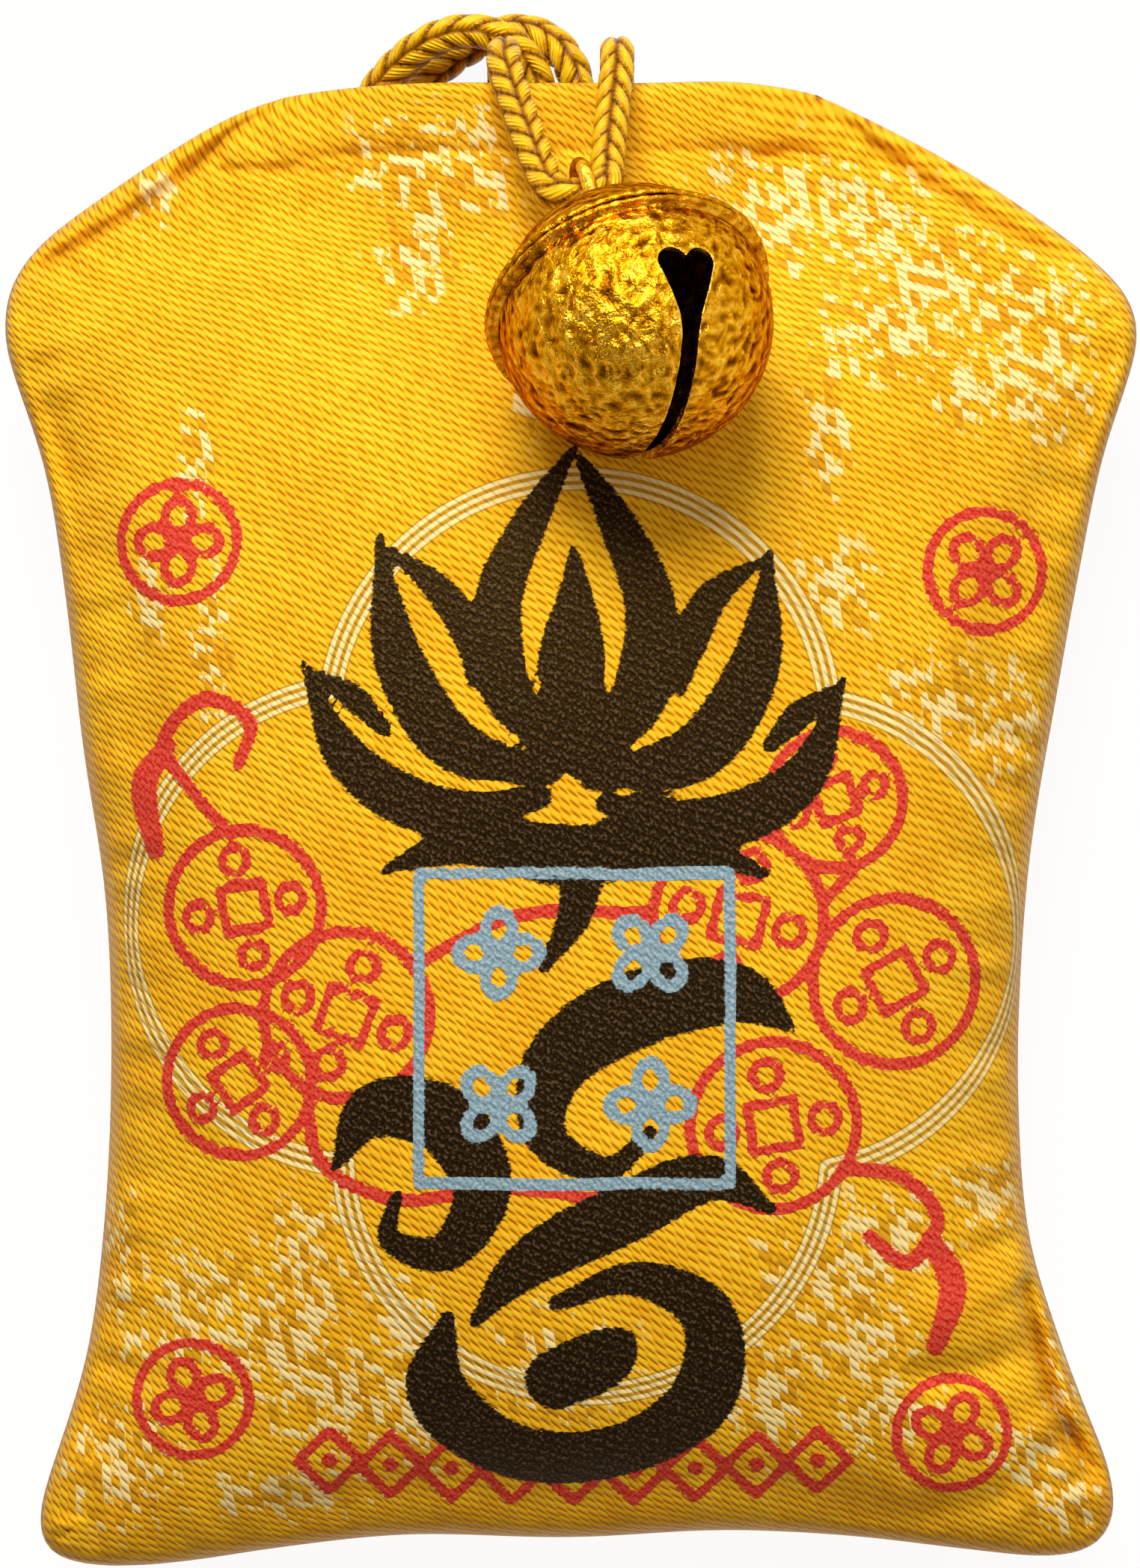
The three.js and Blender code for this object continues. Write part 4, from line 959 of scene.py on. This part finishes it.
# Bell: two thin cups pressed together at a rolled flange, with a heart-headed keyhole at each end of
# the slit; its own frame has +Y towards the shank and the slit in its YZ plane
bell = {
    "radius": 7.05, "wall": 0.4, "seam": 1.55, "gap": 0.1, "flange": 0.62, "flangeWall": 0.35, "lean": 20.3,
    "pitch": -38.9, "spin": 30.2, "shankTurn": -17.2, "slit": 0.92, "keyholeWidth": 3.05, "keyholeLength": 4.1,
    "keyholeAngle": 66.8, "hammer": 0.07, "hammerGrain": 0.62, "hammerBend": 0.8, "ridgeSlope": 2.4,
    "fineShare": 0.35, "fineTimes": 2.3, "eyeHole": 1.225, "wire": 0.4, "eyeHeight": 9.397, "footSplay": 0.55,
    "footDrop": 0.5, "cutDepth": 1.5, "around": 256, "wireAround": 20, "wireSteps": 72, "domeSteps": 72,
    "rollSteps": 8, "insideSteps": 24, "cutterSteps": 24,
    "notches": 64,  # fine teeth round the flange
}
bellCentre = Vector(joints["pellet_roll"]["pos_m"]) / mm
bellTurn = Matrix.Identity(4)
for tilt, axis in (("lean", "Z"), ("pitch", "X"), ("spin", "Y")):
    bellTurn = bellTurn @ Matrix.Rotation(math.radians(bell[tilt]), 4, axis)
bellPlace = Matrix.Scale(mm, 4) @ Matrix.Translation(bellCentre) @ bellTurn


# Thin brass, gilded over a hammered face: lighter on the ridges, with painted brown shade in the hammered hollows and
# on the inside of the cups, seen round the holes
def makeGiltBrass():
    material, tree = newMaterial("hammeredGiltBrass")
    place = millimetres(tree)
    hollowShade = addNode(tree, "Attribute", attribute_name="hollowShade").outputs["Fac"]
    stain = addNode(tree, "TexNoise", {"Vector": place, "Scale": 0.7, "Detail": 5.0, "Roughness": 0.7})
    stain = addNode(tree, "Math", {0: stain, 1: 0.5, 2: -0.25}, operation="MULTIPLY_ADD")
    amount = addNode(tree, "Math", {0: hollowShade, 1: stain}, operation="ADD")
    # the colour holds painted shade: brown in the hammered hollows and inside the cups, with random tone added
    colour = addNode(tree, "ValToRGB", {0: amount},
                     [(0.3, "#FFC23A"), (0.55, "#DE9610"), (0.8, "#A86606"), (1.0, "#6A3C02")])
    rough = addNode(tree, "ValToRGB", {0: amount}, [(0.2, "#484848"), (0.9, "#7A7A7A")])
    warp = addNode(tree, "TexNoise", {"Vector": place, "Scale": 1.3, "Detail": 2.0}).outputs["Color"]
    bent = addNode(tree, "Mix", {0: 0.35, 4: place, 5: warp}, data_type="VECTOR")
    worms = addNode(tree, "TexVoronoi", {"Vector": bent, "Scale": 2.1, "Smoothness": 0.35}, feature="SMOOTH_F1")
    fine = addNode(tree, "TexNoise", {"Vector": place, "Scale": 5.5, "Detail": 3.0, "Roughness": 0.6})
    face = addNode(tree, "Math", {0: fine, 1: 0.5, 2: worms}, operation="MULTIPLY_ADD")
    bump = addNode(tree, "Bump", {"Height": face, "Strength": 1.0, "Distance": 0.19 * mm})
    surface = addNode(tree, "BsdfPrincipled", {
        "Base Color": colour, "Metallic": 1.0, "Roughness": rough, "Specular Tint": linear("#BC8E34"), "Normal": bump})
    addNode(tree, "OutputMaterial", {"Surface": surface})
    return material


giltBrass = makeGiltBrass()


# half the cup's section: down its outside, round the rolled flange and back up its inside
def cupProfile(pole):
    seam = bell["seam"] + pole * bell["gap"] / 2
    roll = bell["flangeWall"] / 2
    radius, inner = bell["radius"], bell["radius"] - bell["wall"]
    flangeRadius = math.sqrt(radius ** 2 - bell["seam"] ** 2) + bell["flange"] - roll
    foot = math.asin((seam + pole * 2 * roll) / radius)
    points = []
    steps = bell["domeSteps"]
    for k in range(steps + 1):
        angle = pole * (math.pi / 2 * (1 - k / steps)) + foot * k / steps
        points.append((radius * math.cos(angle), radius * math.sin(angle)))
    steps = bell["rollSteps"]
    for k in range(steps + 1):
        angle = pole * (math.pi / 2 - math.pi * k / steps)
        points.append((flangeRadius + roll * math.cos(angle), seam + pole * roll + roll * math.sin(angle)))
    steps = bell["insideSteps"]
    for k in range(steps + 1):
        angle = math.asin(seam / inner) * (1 - k / steps) + pole * math.pi / 2 * k / steps
        points.append((inner * math.cos(angle), inner * math.sin(angle)))
    return points


def hammeredCup(name, pole):
    bm = bmesh.new()
    profile = [bm.verts.new((0 if px < 1e-6 else px, py, 0)) for px, py in cupProfile(pole)]
    outline = [bm.edges.new(pair) for pair in zip(profile[:-1], profile[1:])]
    bmesh.ops.spin(bm, geom=profile + outline, cent=(0, 0, 0), axis=(0, 1, 0), angle=2 * math.pi,
                   steps=bell["around"], use_merge=True)
    bmesh.ops.remove_doubles(bm, verts=bm.verts, dist=0.002)
    bmesh.ops.recalc_face_normals(bm, faces=bm.faces)
    layer = bm.verts.layers.float.new("hollowShade")
    grain = 1 / bell["hammerGrain"]
    skin = 0.02  # the dome's outer face lies within this of its radius, and the flange beyond it
    for vert in bm.verts:
        reach = vert.co.length
        if reach > bell["radius"] - skin:
            bend = Vector((noise.noise(vert.co * 0.9), noise.noise(vert.co * 0.9 + Vector((9, 0, 0))), 0))
            ridge = 1 - abs(noise.noise((vert.co + bend * bell["hammerBend"]) * grain)) * bell["ridgeSlope"]
            fine = noise.noise(vert.co * grain * bell["fineTimes"])
            ridge = (1 - bell["fineShare"]) * ridge + bell["fineShare"] * fine
            if reach > bell["radius"] + skin:
                angle = math.atan2(vert.co.x, vert.co.z)
                notch = math.cos(bell["notches"] * angle)
                ridge = 0.3 + 0.22 * notch + 0.5 * noise.noise(vert.co * 1.7)
            vert.co += vert.co.normalized() * bell["hammer"] * (ridge - 0.45)
            # painted shade: darker colour in the hammered hollows, lighter on the ridges
            vert[layer] = min(1, max(0, 0.75 - 0.6 * ridge))
        else:
            # painted shade on the inside of the cup
            vert[layer] = 0.95
    return finishMesh(bm, name)


# the cutter's outline: a heart-shaped head that narrows slowly to the slit, drawn with the head up
def keyholeOutline():
    half, lobe = bell["keyholeWidth"] / 2, bell["keyholeWidth"] / 4
    low, narrow = -bell["keyholeLength"] + lobe, bell["slit"] / 2
    right = [(narrow, low - 5), (narrow, low), (narrow * 1.3, low * 0.72), (half * 0.66, low * 0.38)]
    right += [(half - lobe + lobe * math.cos(a), 0.3 + lobe * math.sin(a)) for a in np.linspace(-0.5, 2.5, 12)]
    right.append((0, 0.3 + lobe * 0.35))
    return right + [(-px, py) for px, py in right[-2::-1]]


# the cut leaves a few slivers folded onto themselves, two faces on the same three corners
def removeFlaps(mesh):
    bm = bmesh.new()
    bm.from_mesh(mesh)
    sameCorners = {}
    for face in bm.faces:
        sameCorners.setdefault(frozenset(vert.index for vert in face.verts), []).append(face)
    flaps = [face for faces in sameCorners.values() if len(faces) > 1 for face in faces]
    bmesh.ops.delete(bm, geom=flaps, context="FACES")
    bm.to_mesh(mesh)
    bm.free()


# a cutter: an outline drawn out to a prism
def drawCutter(bm, corners, reach):
    outline = [bm.verts.new(corner) for corner in corners]
    made = bmesh.ops.extrude_face_region(bm, geom=[bm.faces.new(outline)])
    top = [item for item in made["geom"] if isinstance(item, bmesh.types.BMVert)]
    bmesh.ops.translate(bm, vec=reach, verts=top)
    return outline + top


def cutSlit(piece):
    depth = bell["radius"] + bell["cutDepth"]
    half = math.radians(bell["keyholeAngle"])
    keyholes = bmesh.new()
    for spin in (0, math.pi):
        verts = drawCutter(keyholes, [(px, py, 0.8) for px, py in keyholeOutline()], (0, 0, depth))
        turn = Matrix.Rotation(spin, 4, "Y") @ Matrix.Rotation(math.radians(90 - bell["keyholeAngle"]), 4, "X")
        bmesh.ops.transform(keyholes, matrix=turn, verts=verts)
    slit = bmesh.new()
    fan = [(-bell["slit"] / 2, 0, 0)]
    for angle in np.linspace(-math.pi / 2 - half, -math.pi / 2 + half, bell["cutterSteps"]):
        fan.append((-bell["slit"] / 2, depth * math.sin(angle), depth * math.cos(angle)))
    drawCutter(slit, fan, (bell["slit"], 0, 0))
    cutters = []
    for bm, name in ((keyholes, "keyholeCutter"), (slit, "slitCutter")):
        bmesh.ops.recalc_face_normals(bm, faces=bm.faces)
        cutters.append(bpy.data.objects.new(name, finishMesh(bm, name)))
        bpy.context.scene.collection.objects.link(cutters[-1])
        cut = piece.modifiers.new("cut", "BOOLEAN")
        cut.operation = "DIFFERENCE"
        cut.solver = "EXACT"
        cut.use_self = True
        cut.object = cutters[-1]
    bpy.context.view_layer.update()
    shown = piece.evaluated_get(bpy.context.evaluated_depsgraph_get())
    mesh = bpy.data.meshes.new_from_object(shown)
    piece.modifiers.clear()
    piece.data = mesh
    for cutter in cutters:
        bpy.data.objects.remove(cutter)
    removeFlaps(mesh)


def makeBellCups():
    for name, pole, node in (("bellUpperCup", 1, "bell_upper_cup"), ("bellLowerCup", -1, "bell_lower_cup")):
        piece = addPiece(name, hammeredCup(name, pole), giltBrass, "gilt_brass", node)
        if pole < 0:
            cutSlit(piece)
        piece.data.transform(bellPlace)
        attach(piece, "bell")


# The shank: a bent wire eye on two splayed feet
def makeShank():
    bm = bmesh.new()
    middle = bell["eyeHole"] + bell["wire"]
    section = bmesh.ops.create_circle(bm, segments=bell["wireAround"], radius=bell["wire"], cap_ends=False)["verts"]
    bmesh.ops.rotate(bm, verts=section, cent=(0, 0, 0), matrix=Matrix.Rotation(math.pi / 2, 3, "X"))
    bmesh.ops.translate(bm, verts=section, vec=(middle, 0, 0))
    bmesh.ops.spin(bm, geom=bm.verts[:] + bm.edges[:], cent=(0, 0, 0), axis=(0, 0, 1), angle=2 * math.pi,
                   steps=bell["wireSteps"], use_merge=True)
    bmesh.ops.remove_doubles(bm, verts=bm.verts, dist=0.001)
    for vert in bm.verts:
        low = smoothstep(np.array(-vert.co.y), middle * 0.55, middle + bell["wire"])
        vert.co.x *= 1 + bell["footSplay"] * float(low)
        vert.co.y -= bell["footDrop"] * float(low)
    bmesh.ops.recalc_face_normals(bm, faces=bm.faces)
    turn = Matrix.Rotation(math.radians(bell["shankTurn"]), 4, "Y") @ Matrix.Translation((0, bell["eyeHeight"], 0))
    bmesh.ops.transform(bm, matrix=bellPlace @ turn @ Matrix.Rotation(math.pi / 2, 4, "Y"), verts=bm.verts)
    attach(addPiece("bellShank", finishMesh(bm, "bellShank"), giltBrass, "gilt_brass", "bell_shank"), "bell")


# Steel shot, tumbled: dull grey with small flats
pellet = {"flats": 0.015, "flatsPerMm": 0.9, "subdivisions": 4}


def makePellet():
    material, tree = newMaterial("tumbledSteel")
    grit = addNode(tree, "TexNoise", {"Vector": millimetres(tree), "Scale": 2.5, "Detail": 4.0})
    grey = addNode(tree, "ValToRGB", {0: grit}, [(0.3, "#6E7073"), (0.7, "#A3A5A8")])
    surface = addNode(tree, "BsdfPrincipled", {"Base Color": grey, "Metallic": 1.0, "Roughness": 0.38})
    addNode(tree, "OutputMaterial", {"Surface": surface})
    low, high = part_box("bell_pellet")
    bm = bmesh.new()
    bmesh.ops.create_icosphere(bm, subdivisions=pellet["subdivisions"], radius=(high.z - low.z) / 2)
    for vert in bm.verts:
        vert.co *= 1 - pellet["flats"] + pellet["flats"] * noise.noise(vert.co / mm * pellet["flatsPerMm"])
    bmesh.ops.translate(bm, verts=bm.verts, vec=(low + high) / 2)
    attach(addPiece("bellPellet", finishMesh(bm, "bellPellet"), material, "steel_pellet", "bell_pellet"), "pellet")


makeBellCups()
makeShank()
makePellet()
print("bell made")


# Polyester wadding: matt white fluff, with painted soft grey shade in the hollows of its bump
padding = {"cuts": 2, "passes": 4, "unevenness": 0.1, "grain": 2}


def makeWadding():
    material, tree = newMaterial("polyesterWadding")
    fluff = addNode(tree, "TexNoise", {"Vector": millimetres(tree), "Scale": 1.6, "Detail": 6.0, "Roughness": 0.7})
    # painted shade: the colour goes grey where the bump sinks
    white = addNode(tree, "ValToRGB", {0: fluff}, [(0.3, "#DAD6CC"), (0.7, "#FBFAF6")])
    bump = addNode(tree, "Bump", {"Height": fluff, "Strength": 0.9, "Distance": 0.3 * mm})
    surface = addNode(tree, "BsdfPrincipled", {"Base Color": white, "Roughness": 0.95, "Normal": bump})
    addNode(tree, "OutputMaterial", {"Surface": surface})
    for name, node in (("frontWadding", "filling_front"), ("backWadding", "filling_back")):
        bm = bmesh.new()
        bm.from_mesh(frame["nodes"][node].data)
        bmesh.ops.remove_doubles(bm, verts=bm.verts, dist=0.001 * mm)
        bmesh.ops.subdivide_edges(bm, edges=bm.edges, cuts=padding["cuts"], use_grid_fill=True)
        for _ in range(padding["passes"]):
            bmesh.ops.smooth_vert(bm, verts=bm.verts, factor=0.5, use_axis_x=True, use_axis_y=True, use_axis_z=True)
        for vert in bm.verts:
            uneven = noise.noise(vert.co / mm / padding["grain"]) - 1
            vert.co += vert.normal * padding["unevenness"] * mm * uneven
        piece = addPiece(name, finishMesh(bm, name), material, "wadding", node)
        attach(piece, "pouch")


# Folded paper: matt cream with faint flecks of pulp
def makePaper():
    material, tree = newMaterial("foldedPaper")
    pulp = addNode(tree, "TexNoise", {"Vector": millimetres(tree), "Scale": 2.4, "Detail": 5.0})
    cream = addNode(tree, "ValToRGB", {0: pulp}, [(0.3, "#E6DEC9"), (0.7, "#F7F1E2")])
    surface = addNode(tree, "BsdfPrincipled", {"Base Color": cream, "Roughness": 0.85})
    addNode(tree, "OutputMaterial", {"Surface": surface})
    return material


# Gold-faced card: satin gold printed with red rings
def makeCard():
    material, tree = newMaterial("goldFacedCard")
    rings = addNode(tree, "TexWave", {"Vector": millimetres(tree), "Scale": 0.12}, wave_type="RINGS",
                    rings_direction="Z").outputs["Fac"]
    printed = addNode(tree, "ValToRGB", {0: rings}, [(0.4, "#A8321E"), (0.6, "#DDB266")])
    surface = addNode(tree, "BsdfPrincipled", {"Base Color": printed, "Roughness": 0.45, "Metallic": 0.2})
    addNode(tree, "OutputMaterial", {"Surface": surface})
    return material


# The wadding is a piece of its own; the paper sleeve and the round card keep the solids' own meshes
makeWadding()
for node, material in (("charm_sleeve", makePaper()), ("charm_card", makeCard())):
    frame["nodes"][node].data.materials.clear()
    frame["nodes"][node].data.materials.append(material)
print("inside made")


# Studio: a pale floor, a large soft lamp over the mouth's side and a broad fill
studio = {
    "floorSize": 3.0, "floorColour": "#9E8B70", "worldStrength": 0.18, "worldColour": "#FFE8C8", "ceiling": 0.2,
    "key": {"place": (-0.05, 0.30, 0.31), "size": 0.22, "power": 2.05},
    "fill": {"place": (0.30, 0.04, 0.40), "size": 0.5, "power": 0.75},
}


def seenRays(tree):
    rays = addNode(tree, "LightPath").outputs
    seen = addNode(tree, "Math", {0: rays["Is Camera Ray"], 1: rays["Is Glossy Ray"]}, operation="MAXIMUM")
    return addNode(tree, "Math", {0: seen, 1: rays["Is Transmission Ray"]}, operation="MAXIMUM")


# white all round at eye level and a dimmer ceiling, seen by the camera, in the metal and in gloss
def makeSurroundings():
    world = bpy.data.worlds.new("studio")
    bpy.context.scene.world = world
    world.use_nodes = True
    tree = world.node_tree
    tree.nodes.clear()
    upwards = addNode(tree, "SeparateXYZ", {0: addNode(tree, "TexCoord").outputs["Generated"]}).outputs["Z"]
    room = addNode(tree, "MapRange", {"Value": upwards, "From Min": 0.12, "From Max": 0.55, "To Min": 1.0,
                                      "To Max": studio["ceiling"]})
    seen = seenRays(tree)
    strength = addNode(tree, "Mix", {0: seen, 2: studio["worldStrength"], 3: room}, data_type="FLOAT")
    colour = addNode(tree, "Mix", {0: seen, 6: linear(studio["worldColour"]), 7: (1, 1, 1, 1)}, data_type="RGBA")
    background = addNode(tree, "Background", {"Color": colour, "Strength": strength})
    addNode(tree, "OutputWorld", {"Surface": background})


def makeStudio():
    bm = bmesh.new()
    bmesh.ops.create_grid(bm, x_segments=1, y_segments=1, size=studio["floorSize"] / 2)
    floor = bpy.data.objects.new("floor", finishMesh(bm, "floor"))
    material, tree = newMaterial("paleFloor")
    matt = addNode(tree, "BsdfPrincipled", {"Base Color": linear(studio["floorColour"]), "Roughness": 0.9})
    glow = addNode(tree, "Emission", {"Color": (1, 1, 1, 1), "Strength": 1.3})
    share = addNode(tree, "Math", {0: seenRays(tree), 1: 0.72}, operation="MULTIPLY")
    surface = addNode(tree, "MixShader", {0: share, 1: matt, 2: glow})
    addNode(tree, "OutputMaterial", {"Surface": surface})
    floor.data.materials.append(material)
    bpy.context.scene.collection.objects.link(floor)
    for name in ("key", "fill"):
        lamp = bpy.data.lights.new(name, "AREA")
        lamp.size = studio[name]["size"]
        lamp.energy = studio[name]["power"]
        lampObject = bpy.data.objects.new(name, lamp)
        lampObject.location = studio[name]["place"]
        lampObject.rotation_euler = (-Vector(studio[name]["place"])).to_track_quat("-Z", "Y").to_euler()
        bpy.context.scene.collection.objects.link(lampObject)


makeSurroundings()
makeStudio()
bpy.context.scene.view_settings.view_transform = "Standard"
print("studio made")
